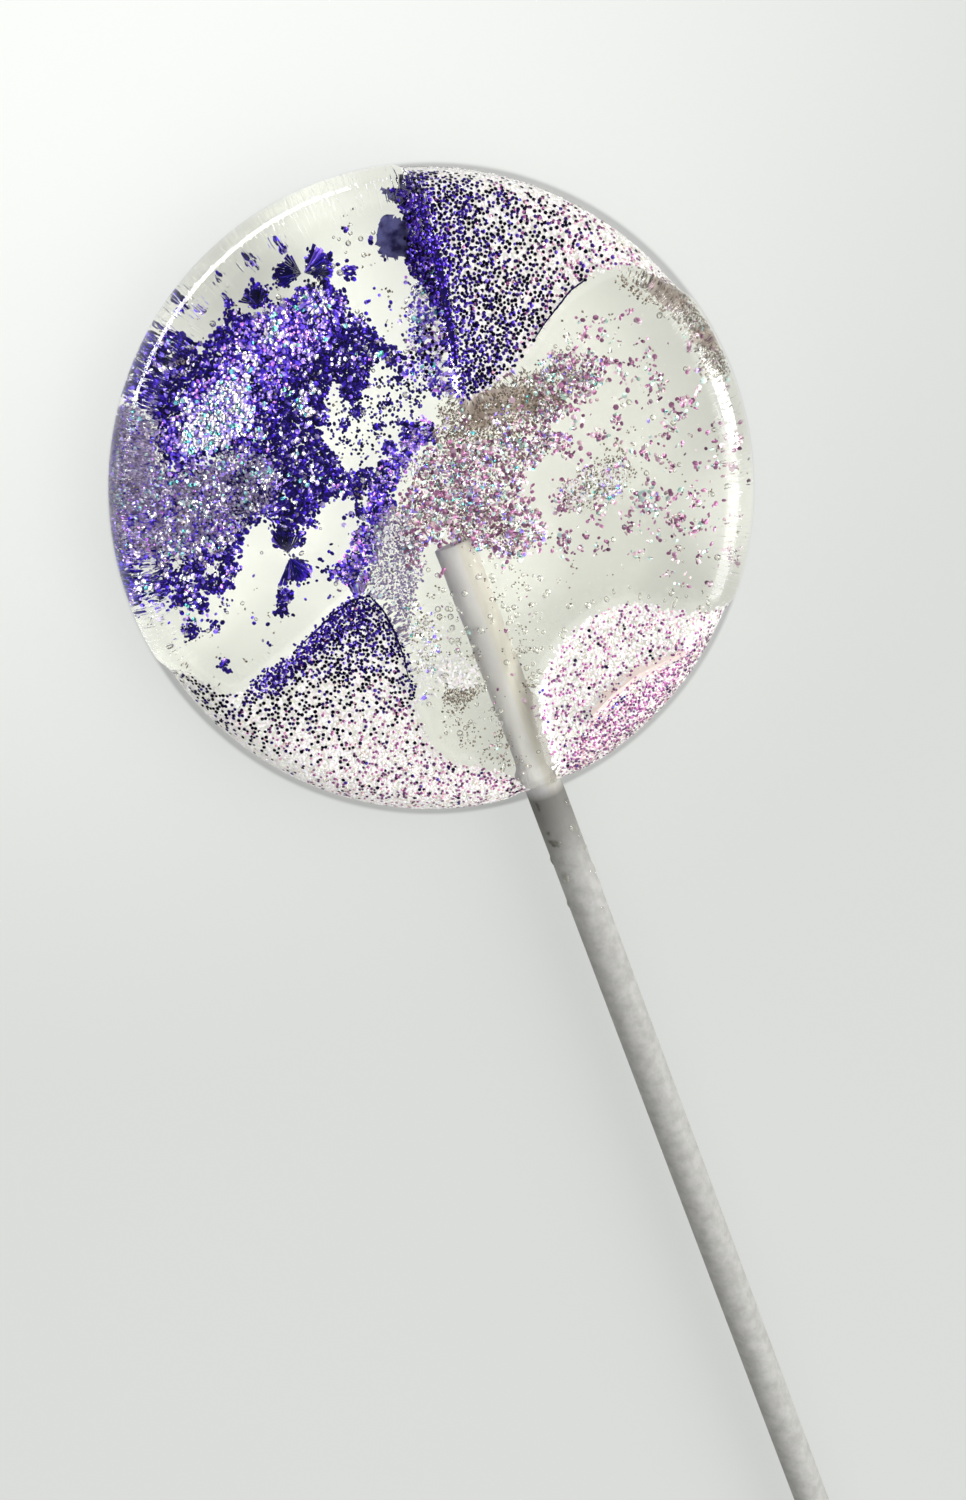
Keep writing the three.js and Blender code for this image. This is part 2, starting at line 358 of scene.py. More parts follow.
# Small round clumps of glitter, each with its radius, in millimetres.
CLUMPS = {
    "violet_clumps": [
        (-12, 20, 0.4), (-11.3, 19.5, 0.3), (-9.1, 20.9, 0.25), (-9.2, 19.7, 0.35), (-7.2, 19.2, 0.9),
        (-6.4, 21.2, 0.4), (-4.1, 21.6, 0.3), (0.7, 21.4, 0.3), (0, 18.5, 0.5), (-4.8, 19.9, 0.9),
        (-2, 19.6, 1.1), (-11.8, 2.2, 1.0), (-12, -0.6, 1.2), (-13.6, -2.2, 0.6), (-14.2, -3.1, 0.5),
        (-10.8, 1.6, 0.6), (-23.4, -4.4, 0.5), (-20.2, -5.6, 0.5), (-21.4, -1.9, 0.8),
        (-19.6, -2.3, 0.5), (-18.2, -1, 0.5), (-4.5, 4, 1.0), (-3, 4.2, 0.6), (-5.6, 3.2, 0.7),
        (-3.2, 10.6, 0.9), (-2.2, 11.2, 0.7), (0.6, 11.8, 0.8), (-9.5, 2.6, 0.6), (-7, 3.8, 0.6),
        (-6.6, -0.4, 0.6), (-2.2, 5.6, 0.6), (0.2, 6.1, 1.0), (1.2, 5.2, 0.6), (-4.5, 8.2, 0.5),
        (-3.4, 9, 0.4), (-2.4, 7.4, 0.4), (-1, 8.6, 0.4), (-6, 1.8, 0.7),
    ],
    "rose_clumps": [
        (15.2, -5.3, 1.1), (5.4, -4.4, 1.0), (8, -5.8, 0.8), (6.3, -3.4, 0.8), (18.7, 3, 0.8),
        (19, 0.4, 0.7), (16.6, -7.4, 0.7), (12.3, 5.4, 1.3), (13.2, 4.2, 1.0), (10.8, 1.2, 0.8),
        (13.2, 0.8, 0.8), (16.2, -1.5, 0.6), (18.2, -8.8, 0.6), (15.8, -10.2, 0.5), (21, -4.5, 0.5),
        (8.9, -3, 0.9), (10.7, -7.6, 0.7), (17.2, 4.9, 0.6), (14.9, 8, 0.6), (9.6, 3.4, 0.9),
        (4, 1.5, 1.2), (6.5, 1.2, 1.1),
    ],
}

# Where each kind of glitter lies: outlines or clumps with the share of flakes in them, the softness of their
# edge in millimetres and, where the share changes, its far value and the spots that it changes between.
# A share below nought takes flakes out.
COVER = {
    "violet_flakes": [
        ("left_cloud", 1.0, 1.0), ("middle_strip", 0.6, 1.0), ("crest", 1.0, 0.5),
        ("violet_clumps", 0.9, 0.7), ("lilac_side", 0.25), ("upper_flecks", 0.22),
        ("lower_flecks", 0.22), ("left_haze", -0.85, 2.2), ("grey_haze", -0.5, 1.4),
        ("ragged_edge", -0.42, 0.8), ("white_core", -0.5, 1.0),
    ],
    "violet_specks": [
        ("left_cloud", 0.3, 1.8), ("dark_flank", 0.75, 1.2), ("dark_corner", 0.6, 1.0),
        ("left_haze", 0.3, 1.2), ("violet_clumps", 0.8), ("window", 0.55, 1.2),
        ("middle_strip", 0.5, 1.8), ("lilac_side", 0.45), ("upper_flecks", 0.12), ("lower_flecks", 0.14),
        ("left_haze", -0.8, 1.5), ("grey_haze", -0.4, 1.5), ("white_core", -0.7, 1.0),
    ],
    "lilac_flakes": [
        ("bright_core", 1.0, 1.6), ("bright_band", 0.6, 1.5), ("left_cloud", 0.22, 1.0),
        ("left_haze", 0.5, 1.2), ("grey_haze", 0.6, 1.5), ("ragged_edge", 0.3, 0.8),
        ("middle_strip", 0.7), ("lilac_side", 0.6),
    ],
    # Silver flakes crowd the white and bright cores, partly a painted highlight where the drift catches the
    # light.
    "silver_flakes": [
        ("white_core", 1.0, 1.4), ("bright_core", 0.45, 1.5), ("bright_band", 0.3), ("left_haze", 0.32),
        ("grey_haze", 0.38), ("left_cloud", 0.28, 0.6), ("crest", 0.3), ("centre_cloud", 0.42),
        ("pale_trail", 0.35), ("lilac_side", 0.35), ("grey_patch", 0.35), ("centre_smoke", 0.35),
        ("right_flecks", 0.12), ("rose_clumps", 0.25),
    ],
    "rose_flakes": [
        ("centre_cloud", 0.8, 1.8), ("rose_clumps", 0.85, 0.8), ("centre_smoke", 0.3),
        ("right_flecks", 0.35), ("rim_smoke", 0.42), ("stick_side", 0.22),
    ],
    # The grey-brown dust is partly painted shade: in the middle smoke, and in patch_shade below the white
    # patch.
    "smoke_dust": [
        ("centre_smoke", 0.85, 1.4), ("centre_cloud", 0.45, 1.4), ("rim_smoke", 1.0, 1.2),
        ("pale_trail", 0.3), ("patch_shade", 1.0, 0.5), ("white_patch", 0.3, 0.5), ("grey_patch", 0.5),
        ("stick_clear", 0.24), ("everywhere", 0.14), ("smoke_gap", -1.0, 0.5),
    ],
    "mauve_dust": [
        ("left_haze", 1.0, 1.5), ("grey_haze", 0.6, 1.5), ("left_cloud", 0.15, 1.0),
        ("lower_smoke", 0.9), ("centre_cloud", 0.22), ("lilac_side", 0.25), ("middle_strip", 0.3),
    ],
    # The white dust in white_patch is also a painted highlight.
    "pale_dust": [
        ("white_patch", 1.0), ("white_core", 0.25, 1.2), ("centre_smoke", 0.2), ("smoke_gap", 0.55, 0.7),
        ("pale_trail", 0.5), ("lower_smoke", 0.4), ("grey_patch", 0.45), ("centre_cloud", 0.24),
        ("lilac_side", 0.35),
    ],
    "petal_dust": [
        ("upper", 0.95, 0.3, 0.7, (12, 16), (20, 14)),
        ("lower_left", 0.8, 0.3, 1.0, (-8, -5), (-10, -20)), ("lower_right", 1.0, 0.3),
        # The pale flakes in white_patch are also a painted highlight.
        ("white_patch", 0.4, 0.5), ("crest_side", -0.95, 0.5), ("left_crease", -0.6, 0.4),
    ],
    "dark_dots": [
        ("upper", 0.9, 0.3, 0.3, (9, 15), (19, 14)), ("crest", 0.9, 0.35), ("black_dots", 0.5, 0.6),
        ("lower_left", 0.75, 0.3, 0.22, (-10, -9), (-10.5, -16)), ("lower_right", 0.12, 0.3),
        ("right_border", 0.12, 0.4),
    ],
    # The violet dots are painted shade in fold_shade, and partly painted crease shade along the creases.
    "violet_dots": [
        ("crest_side", 0.5, 0.5), ("left_crease", 0.85, 0.6), ("inner_crease", 0.5, 0.3),
        ("upper", 0.45, 0.3, 0.03, (6, 15), (16, 14)),
        ("lower_left", 0.65, 0.3, 0.0, (-9, -4), (-11, -12)), ("right_border", 0.08, 0.4),
        ("under_fold", 0.06), ("fold_shade", 0.3, 0.3),
    ],
    "rose_dots": [
        ("upper", 0.1, 0.3, 0.5, (9, 15), (19, 14)), ("lower_left", 0.1, 0.3, 0.48, (-9, -8), (-8, -19)),
        ("lower_right", 0.38, 0.3), ("right_border", 0.3, 0.4), ("under_fold", 1.0),
    ],
    "air_bubbles": [
        ("stick_side", 0.5), ("stick_clear", 0.45), ("pale_trail", 0.5), ("lower_flecks", 0.2),
        ("upper_flecks", 0.25), ("right_flecks", 0.2), ("petal_edge", 0.9, 0.5),
    ],
}

# Films of coloured sugar, with their height and their outlines, and dark lines of painted crease shade along
# the petals' creases, with their widths at both ends. All are in millimetres but the height.
FILM_LEVEL = 5.6 * MM
FILMS = {
    "violet": (FILM_LEVEL, [
        [
            (2.6, 20.2), (3.3, 21.2), (4.3, 20.9), (4.9, 20.2), (4.6, 19.2), (4.5, 18.2), (4.3, 17.4),
            (3.8, 18.2), (2.9, 18.3), (2.3, 19),
        ],
        [
            (4.1, 22.8), (4.8, 22.6), (5.7, 22.6), (5.8, 22), (5, 21.6), (4.3, 22),
        ],
    ]),
    "mauve": (2.6 * MM, [
        [
            (-19.6, 14.3), (-18.6, 14.5), (-17.9, 13.4), (-18.3, 12), (-18.8, 10.6), (-18, 9.2),
            (-15.5, 9.1), (-12.8, 8.4), (-11.4, 7.2), (-12.3, 5.6), (-14.5, 5), (-17.2, 4.2),
            (-20.2, 4.4), (-22.6, 5.2), (-23, 7.4), (-21.9, 10.2), (-20.8, 12.3),
        ],
    ]),
    # The middle smoke plate is partly painted shade, where the flakes lie in shade.
    "smoke": (4.6 * MM, [
        [(4.2, 6.5), (7.2, 6.6), (9.4, 6.2), (10.1, 5.2), (9, 4.5), (7.2, 4.8), (5.4, 4.4), (3.6, 5.4)],
        [(20.2, 9.6), (21.2, 9.9), (22.3, 9.1), (22.8, 7.8), (22.1, 7.4), (21, 8.2)],
        [(22.2, 5.6), (23.3, 5.4), (23.9, 4.6), (23.8, 3.8), (23, 3.9), (22.3, 4.6)],
    ]),
}
CREASE_SHADE_LINES = [
    (0.7, 0.5, [(6.3, 22), (6.2, 19.5), (6.1, 17.5), (5.8, 15.5), (5.4, 13.3), (5, 11.2), (4.7, 9.6)]),
    (0.1, 0.16, [(10.8, 9.3), (12, 10.2), (13.4, 11), (14.6, 11.7), (16, 12.05)]),
    (0.28, 0.1, [(-7.5, -4.1), (-8.8, -3.9), (-10.6, -4.4), (-12.6, -5.2), (-14.5, -6)]),
    (0.24, 0.08, [(-7.5, -4.1), (-6.95, -5.5), (-6.75, -7.5), (-6.8, -9.5), (-7.1, -11.5)]),
]
FILM_THICKNESS = 0.06 * MM
FILM_RAGGEDNESS = 0.1 * MM
FILM_FADE = 0.1 * MM
LINE_RAGGEDNESS = (0.6, 1.3)
LINE_ENDS = (0.03, 0.97)
LINE_TAPER = 0.3
FILM_STEP = 0.15 * MM
FILM_SEED = 29

# Kinds of glitter in the depth of the sugar, and on the petals, with the defaults of their settings.
# Lengths are in millimetres and angles in degrees.
# Each kind's deep colour is painted shade, and its light and spark colours are painted glints, given at
# random.
DEEP_GLITTER = {
    "violet_flakes": dict(
        about="Violet flakes drifted together deep in the sugar.",
        seed=11, width=0.36, per_mm2=46, gap=0.09, clumping=0.75, level=3.6, depth=2.0, tilt=17,
        deep=(0.005, 0.002, 0.085), main=(0.04, 0.014, 0.42),
        light=(0.18, 0.1, 0.85), spark=(0.62, 0.52, 1.0),
        light_from=0.78, spark_from=0.94, rainbow=0.05, metallic=1.0, narrow=0.6,
    ),
    "violet_specks": dict(
        about="Small dark violet flakes at the ragged edges of the drifts.",
        seed=13, width=0.26, per_mm2=22, gap=0.13, clumping=0.5, level=4.2, depth=2.0, tilt=16,
        deep=(0.004, 0.003, 0.05), main=(0.022, 0.01, 0.19), light=(0.12, 0.08, 0.5), spark=(0.4, 0.34, 0.8),
        light_from=0.82, spark_from=0.96, rainbow=0.05, metallic=1.0, narrow=0.6, clump_size=0.9,
    ),
    "lilac_flakes": dict(
        about="Pale violet flakes among the violet ones, where the drift thins out or turns to the light.",
        seed=17, width=0.35, per_mm2=26, gap=0.12, clumping=0.6, level=4.0, depth=0.8, tilt=10,
        deep=(0.03, 0.012, 0.4), main=(0.14, 0.07, 0.86), light=(0.42, 0.26, 1.0), spark=(0.6, 0.2, 0.95),
        light_from=0.5, spark_from=0.88, rainbow=0.08, metallic=0.9, narrow=0.6, lean=14,
    ),
    # Partly painted highlight: white flakes crowd where the drift catches the light.
    "silver_flakes": dict(
        about="Clear flakes with a rainbow sheen, where the drift turns to the light.",
        seed=23, width=0.34, per_mm2=36, gap=0.1, clumping=0.6, level=4.8, depth=0.8, tilt=8,
        deep=(0.24, 0.16, 0.85), main=(0.52, 0.42, 1.0), light=(0.9, 0.88, 1.0), spark=(0.03, 0.45, 0.5),
        light_from=0.25, spark_from=0.84, rainbow=0.2, metallic=0.9, narrow=0.6, lean=15,
    ),
    "rose_flakes": dict(
        about="Pink and mauve flakes in the middle, and loose over the clear side.",
        seed=37, width=0.34, per_mm2=23, gap=0.12, clumping=0.75, level=5.6, depth=2.0, tilt=20,
        deep=(0.17, 0.055, 0.14), main=(0.52, 0.22, 0.42), light=(0.84, 0.58, 0.72), spark=(0.6, 0.85, 0.8),
        light_from=0.55, spark_from=0.84, rainbow=0.1, metallic=0.6, spread=0.5, narrow=0.4, clump_size=1.0,
    ),
    # Partly painted shade: grey-brown dust where flakes lie in shade in the middle, and below the white
    # patch.
    "smoke_dust": dict(
        about="Fine grey-brown dust between the flakes.",
        seed=41, width=0.2, per_mm2=90, gap=0.05, clumping=0.45, level=5.4, depth=1.6, tilt=26,
        deep=(0.12, 0.088, 0.065), main=(0.33, 0.262, 0.2), light=(0.55, 0.48, 0.41), spark=(0.95, 0.93, 0.9),
        light_from=0.75, spark_from=0.93, rainbow=0.05, metallic=0.3, sides=4, narrow=0.5,
    ),
    "mauve_dust": dict(
        about="Fine grey-mauve dust at the left rim and beside the middle.",
        seed=47, width=0.24, per_mm2=60, gap=0.06, clumping=0.4, level=5.2, depth=1.2, tilt=22,
        deep=(0.18, 0.14, 0.28), main=(0.32, 0.26, 0.44), light=(0.52, 0.45, 0.64), spark=(0.6, 0.85, 0.85),
        light_from=0.7, spark_from=0.94, rainbow=0.1, metallic=0.2, sides=4, narrow=0.5,
    ),
    # Partly painted highlight: the white dust in the foamy patch by the stick.
    "pale_dust": dict(
        about="White dust in the brightest drifts and in a foamy patch by the stick.",
        seed=59, width=0.24, per_mm2=42, gap=0.08, clumping=0.6, level=5.6, depth=0.8, tilt=9,
        deep=(0.8, 0.77, 0.86), main=(0.94, 0.93, 0.96), light=(0.97, 0.96, 0.98), spark=(0.98, 1.0, 1.0),
        light_from=0.4, spark_from=0.8, rainbow=0.1, metallic=0.0, sides=4, narrow=0.6,
        clump_size=1.0, lean=13,
    ),
}
PETAL_GLITTER = {
    "petal_dust": dict(
        about="Pale flakes that line the petals.",
        seed=53, width=0.26, per_mm2=46, gap=0.08, clumping=0.1, level=0.02, depth=0.06, tilt=9,
        deep=(0.9, 0.8, 0.84), main=(0.97, 0.93, 0.95), light=(0.98, 0.96, 0.97), spark=(1.0, 0.98, 0.92),
        light_from=0.4, spark_from=0.8, rainbow=0.08, metallic=0.0, sides=4,
    ),
    "dark_dots": dict(
        about="Near-black dots that lie on the petals.",
        seed=67, width=0.3, per_mm2=22, gap=0.24, clumping=0.25, level=0.06, depth=0.04, tilt=10,
        deep=(0.004, 0.003, 0.01), main=(0.008, 0.005, 0.02),
        light=(0.025, 0.01, 0.1), spark=(0.06, 0.03, 0.24),
        light_from=0.75, spark_from=0.92, rainbow=0.0, metallic=1.0, spread=0.15,
    ),
    # Partly painted shade: below the fold, and along the petals' creases.
    "violet_dots": dict(
        about="Violet dots, thickest along the petals' creases.",
        seed=79, width=0.25, per_mm2=36, gap=0.1, clumping=0.3, level=0.07, depth=0.06, tilt=14,
        deep=(0.006, 0.003, 0.06), main=(0.042, 0.017, 0.28), light=(0.12, 0.07, 0.5), spark=(0.5, 0.4, 0.85),
        light_from=0.8, spark_from=0.98, rainbow=0.05, metallic=1.0, spread=0.2,
    ),
    "rose_dots": dict(
        about="Pink and mauve dots, thickest towards the rim.",
        seed=83, width=0.25, per_mm2=30, gap=0.17, clumping=0.2, level=0.06, depth=0.04, tilt=10,
        deep=(0.06, 0.02, 0.09), main=(0.42, 0.12, 0.32), light=(0.72, 0.38, 0.5), spark=(0.9, 0.75, 0.68),
        light_from=0.65, spark_from=0.88, rainbow=0.05, metallic=0.7, spread=0.15,
    ),
}


def length(name, description, millimetres):
    """A size property, given in millimetres."""
    return FloatProperty(
        name=name, description=description, default=millimetres * MM, min=0.0, precision=5, unit="LENGTH",
    )


def turn(name, description, degrees):
    """An angle property, given in degrees."""
    return FloatProperty(name=name, description=description, default=math.radians(degrees), subtype="ANGLE")


def part_of_one(name, description, default):
    """A property that runs from nought to one."""
    return FloatProperty(
        name=name, description=description, default=default, min=0.0, max=1.0, subtype="FACTOR",
    )


def amount(name, description, default):
    """A plain number property."""
    return FloatProperty(name=name, description=description, default=default, min=0.0)


def whole_number(name, description, default):
    """A whole number property."""
    return IntProperty(name=name, description=description, default=default, min=0)


def tone(name, description, default):
    """A colour property."""
    return FloatVectorProperty(
        name=name, description=description, default=default, min=0.0, max=1.0, subtype="COLOR",
    )


def spot(name, description, default):
    """A property for a place in the scene."""
    return FloatVectorProperty(name=name, description=description, default=default, subtype="TRANSLATION")


# The settings of a kind of glitter: what they are, their names and descriptions, and the usual value of some.
FLAKE_SETTINGS = {
    "width": (length, "Width", "Middle width of a flake"),
    "sides": (whole_number, "Sides", "Sides of a flake", 6),
    "thickness": (length, "Thickness", "Thickness of a flake at its middle", 0.025),
    "spread": (part_of_one, "Spread", "How far the sizes differ from the middle width", 0.35),
    "narrow": (part_of_one, "Narrow", "Width of the narrowest flakes against their length", 1.0),
    "per_mm2": (amount, "Flakes per mm2", "Flakes on a square millimetre where the drift is full"),
    "gap": (length, "Gap", "Least distance between the middles of two flakes"),
    "clumping": (part_of_one, "Clumping", "Even scatter at nought, ragged clumps at one"),
    "clump_size": (length, "Clump size", "Width of a clump", 1.5),
    "level": (length, "Level", "Height of the drift's upper side above the disc's back or its poured face"),
    "depth": (length, "Depth", "How far the flakes reach down from the level"),
    "tilt": (turn, "Tilt", "Most that a flake leans by chance"),
    "lean": (turn, "Lean", "How far all flakes lean towards the light", 0.0),
    # Painted shade and glints: deep, light and spark colours go to flakes at random, not by how they face the
    # light.
    "deep": (tone, "Deep", "Colour of flakes that turn away from the light"),
    "main": (tone, "Main", "Colour of most flakes"),
    "light": (tone, "Light", "Colour of flakes that catch the light"),
    "spark": (tone, "Spark", "Colour of the few brightest flakes"),
    "light_from": (part_of_one, "Light from", "Share of flakes that are darker than the light ones"),
    "spark_from": (part_of_one, "Spark from", "Share of flakes that are darker than the sparks"),
    # Painted sheen: the rainbow tints the painted glints at random.
    "rainbow": (part_of_one, "Rainbow", "How far the light flakes take on rainbow colours"),
    "metallic": (part_of_one, "Metallic", "How much the flakes shine like metal"),
    "seed": (whole_number, "Seed", "Start of the random draws"),
}


def flake_group(kind, defaults):
    """A property group for one kind of glitter."""
    properties = {}
    for setting, (make, name, description, *usual) in FLAKE_SETTINGS.items():
        properties[setting] = make(name, description, defaults.get(setting, *usual))
    contents = {"__doc__": defaults["about"], "__annotations__": properties}
    return type(kind.title().replace("_", ""), (bpy.types.PropertyGroup,), contents)


class SugarSettings(bpy.types.PropertyGroup):
    """The clear sugar: its relief, its finish and its air bubbles."""

    petal_depth: length("Petal depth", "How far the petals sink into the poured face", 0.5)
    crease_depth: length("Crease depth", "Depth of the crease along a petal's border", 0.06)
    crease_width: length("Crease width", "Half width of the crease", 0.35)
    fold_height: length("Fold height", "Height of the fold in the lower right petal", 0.5)
    fold_width: length("Fold width", "Half width of the fold", 0.45)
    dimple_depth: length("Dimple depth", "Depth of the lens-like dimples", 0.3)
    wave_height: length("Wave height", "Height of the slow waves in the poured face", 0.01)
    colour: tone("Colour", "Tint of the clear sugar", (1.0, 1.0, 0.925))
    refraction: amount("Refraction", "Refractive index of set sugar", 1.5)
    streak_width: length("Streak width", "Width of the streaks that run down the rim", 0.22)
    streak_length: length("Streak length", "Length of the streaks", 1.4)
    streak_depth: length("Streak depth", "Height of the streaks", 0.035)
    # The violet dark colour is also the painted crease shade of the dark lines along the petals' creases.
    violet_dark: tone("Violet dark", "Colour of the darkest violet sugar", (0.01, 0.007, 0.06))
    violet_pale: tone("Violet pale", "Colour of the palest violet sugar", (0.1, 0.1, 0.27))
    mauve_dark: tone("Mauve dark", "Colour of the darker streaks in the mauve haze", (0.22, 0.17, 0.34))
    mauve_pale: tone("Mauve pale", "Colour of the mauve haze", (0.55, 0.48, 0.68))
    # The brown smoke is partly painted shade in the middle of the disc.
    smoke_dark: tone("Smoke dark", "Colour of the darker streaks in the brown smoke", (0.38, 0.31, 0.26))
    smoke_pale: tone("Smoke pale", "Colour of the brown smoke", (0.72, 0.63, 0.56))
    fold_colour: tone("Fold colour", "Colour of the fold's crest", (0.88, 0.74, 0.68))
    bubble_width: length("Bubble width", "Middle width of an air bubble", 0.34)
    bubbles_per_mm2: amount("Bubbles per mm2", "Air bubbles on a square millimetre at their densest", 5.0)
    bead_width: length("Bead width", "Middle width of a sugar bead on the stick", 0.6)
    beads_per_mm2: amount("Beads per mm2", "Sugar beads on a square millimetre of the stick", 0.7)
    bead_reach: length("Bead reach", "How far down the stick the beads reach from the rim", 14)


class StickSettings(bpy.types.PropertyGroup):
    """The rolled paper stick."""

    seam_step: length("Seam step", "Height of the rolled paper's free edge", 0.07)
    seam_turn: turn("Seam turn", "Where the free edge lies, from the top towards +X", 27)
    end_groove: length("End groove", "Depth of the spiral that the roll shows at its ends", 0.08)
    paper_turn: length("Paper turn", "Thickness of one turn of the roll", 0.2)
    paper: tone("Paper", "Colour of the dry paper", (0.46, 0.457, 0.435))
    fibre: tone("Fibre", "Colour of the darker fibres", (0.365, 0.36, 0.34))
    soaked: tone("Soaked", "Colour of the paper inside the sugar", (0.64, 0.635, 0.625))
    # The dark band: a darker colour on the paper just below the rim, and how far down it reaches.
    dark_band: tone("Damp", "Colour of the damp paper just outside the sugar", (0.175, 0.17, 0.155))
    free_edge: tone("Free edge", "Colour of the paper's free edge inside the sugar", (0.62, 0.605, 0.545))
    free_edge_from: length("Free edge from", "How far right of the stick's middle the free edge starts", 0.05)
    dark_band_reach: length("Damp reach", "How far down the stick the damp reaches from the rim", 9)


class StageSettings(bpy.types.PropertyGroup):
    """The floor, the lights and the camera."""

    floor: tone("Floor", "Colour of the floor", (0.2, 0.204, 0.198))
    floor_glow: amount("Floor glow", "Light that comes up through the floor, as from a light table", 0.505)
    floor_gap: length("Floor gap", "How far the floor lies below the disc's back", 0.3)
    floor_size: length("Floor size", "Side of the square floor", 6000)
    sky: amount("Sky", "Strength of the light from all round", 3.0)
    left_sky: part_of_one("Left sky", "Brightness of the sky on the left against the right", 0.08)
    key: amount("Key", "Power of the long lamp on the right, in watts", 1.9)
    rim: amount("Rim", "Power of the long lamp at the far side, in watts", 3.5)
    low: amount("Low", "Power of the low lamp on the near right, in watts", 0.9)
    backdrop: tone("Backdrop", "Colour that shows behind the floor", (0.74, 0.75, 0.73))
    camera_place: spot("Camera place", "Where the camera stands", (-0.00596, 0.01708, 0.12829))
    camera_aim: spot("Camera aim", "Point that the camera looks at", (-0.0036, -0.0198, 0.0037))
    camera_turn: turn("Camera turn", "How far the picture's up direction turns from +Y towards +X", 20.3)
    camera_lens: amount("Camera lens", "Focal length in millimetres on a 36 mm long side", 38.4)


SETTINGS = {
    "sugar": SugarSettings,
    "stick": StickSettings,
    **{kind: flake_group(kind, defaults) for kind, defaults in {**DEEP_GLITTER, **PETAL_GLITTER}.items()},
    "stage": StageSettings,
}


class LollipopSettings(bpy.types.PropertyGroup):
    """Everything that a user would change."""

    __annotations__ = {name: PointerProperty(type=group) for name, group in SETTINGS.items()}


# Outlines and soft edges.


def smooth_step(value, low, high):
    """Nought up to low, one from high, and a smooth rise between them."""
    share = np.clip((value - low) / (high - low), 0.0, 1.0)
    return share * share * (3 - 2 * share)


def closed_curve(points):
    """A fine polygon, in metres, along a smooth closed curve through points in millimetres."""
    corners = np.array(points, float) * MM
    count = len(corners)
    share = np.linspace(0, 1, CURVE_STEPS, endpoint=False)[:, None]
    stretches = []
    for i in range(count):
        p0, p1, p2, p3 = (corners[(i + k) % count] for k in (-1, 0, 1, 2))
        t1 = math.sqrt(math.dist(p0, p1))
        t2 = t1 + math.sqrt(math.dist(p1, p2))
        t3 = t2 + math.sqrt(math.dist(p2, p3))
        t = t1 + (t2 - t1) * share
        a1 = p0 + (p1 - p0) * t / t1
        a2 = p1 + (p2 - p1) * (t - t1) / (t2 - t1)
        a3 = p2 + (p3 - p2) * (t - t2) / (t3 - t2)
        b1 = a1 + (a2 - a1) * t / t2
        b2 = a2 + (a3 - a2) * (t - t1) / (t3 - t1)
        stretches.append(b1 + (b2 - b1) * (t - t1) / (t2 - t1))
    return np.concatenate(stretches)


def depth_inside(polygon, spots):
    """How far each spot lies inside a polygon, or outside it where the number is negative."""
    x, y = spots.T
    inside = np.zeros(len(spots), bool)
    nearest = np.full(len(spots), np.inf)
    for a, b in zip(polygon, np.roll(polygon, -1, axis=0)):
        edge = b - a
        offset = spots - a
        along = np.clip(offset @ edge / (edge @ edge), 0.0, 1.0)
        nearest = np.minimum(nearest, np.linalg.norm(offset - along[:, None] * edge, axis=1))
        if edge[1]:
            crosses = (a[1] > y) != (b[1] > y)
            inside ^= crosses & (x < a[0] + edge[0] * (y - a[1]) / edge[1])
    return np.where(inside, nearest, -nearest)


def distance_to_line(points, spots):
    """How far each spot lies from a line through points in millimetres."""
    corners = np.array(points, float) * MM
    nearest = np.full(len(spots), np.inf)
    for a, b in zip(corners, corners[1:]):
        along = np.clip((spots - a) @ (b - a) / ((b - a) @ (b - a)), 0.0, 1.0)
        nearest = np.minimum(nearest, np.linalg.norm(spots - a - along[:, None] * (b - a), axis=1))
    return nearest


OUTLINES = {name: closed_curve(points) for name, points in {**PETALS, **DRIFTS}.items()}


def depth_in(name, spots):
    """How far each spot lies inside an outline or the nearest of some clumps, and negative outside."""
    if name not in CLUMPS:
        return depth_inside(OUTLINES[name], spots)
    away = []
    for x, y, radius in CLUMPS[name]:
        away.append(np.linalg.norm(spots - np.array((x, y)) * MM, axis=1) - radius * MM)
    return -np.min(away, axis=0)


class Drift(NamedTuple):
    """A row of the table of where glitter lies."""

    outline: str
    near: float
    edge: float = 0.9
    far: float = None
    start: tuple = (0, 0)
    end: tuple = (0, 1)


def cover_of(kind, spots):
    """The share of flakes of one kind that stays at each spot."""
    cover = np.zeros(len(spots))
    for row in COVER[kind]:
        drift = Drift(*row)
        edge = drift.edge * MM
        inside = smooth_step(depth_in(drift.outline, spots), -edge, edge)
        start = np.array(drift.start, float) * MM
        way = np.array(drift.end, float) * MM - start
        far = drift.near if drift.far is None else drift.far
        along = np.clip((spots - start) @ way / (way @ way), 0.0, 1.0)
        part = inside * (drift.near + (far - drift.near) * along)
        cover = np.where(part < 0, cover * (1 + part), np.maximum(cover, part))
    return cover


# The disc's surface.


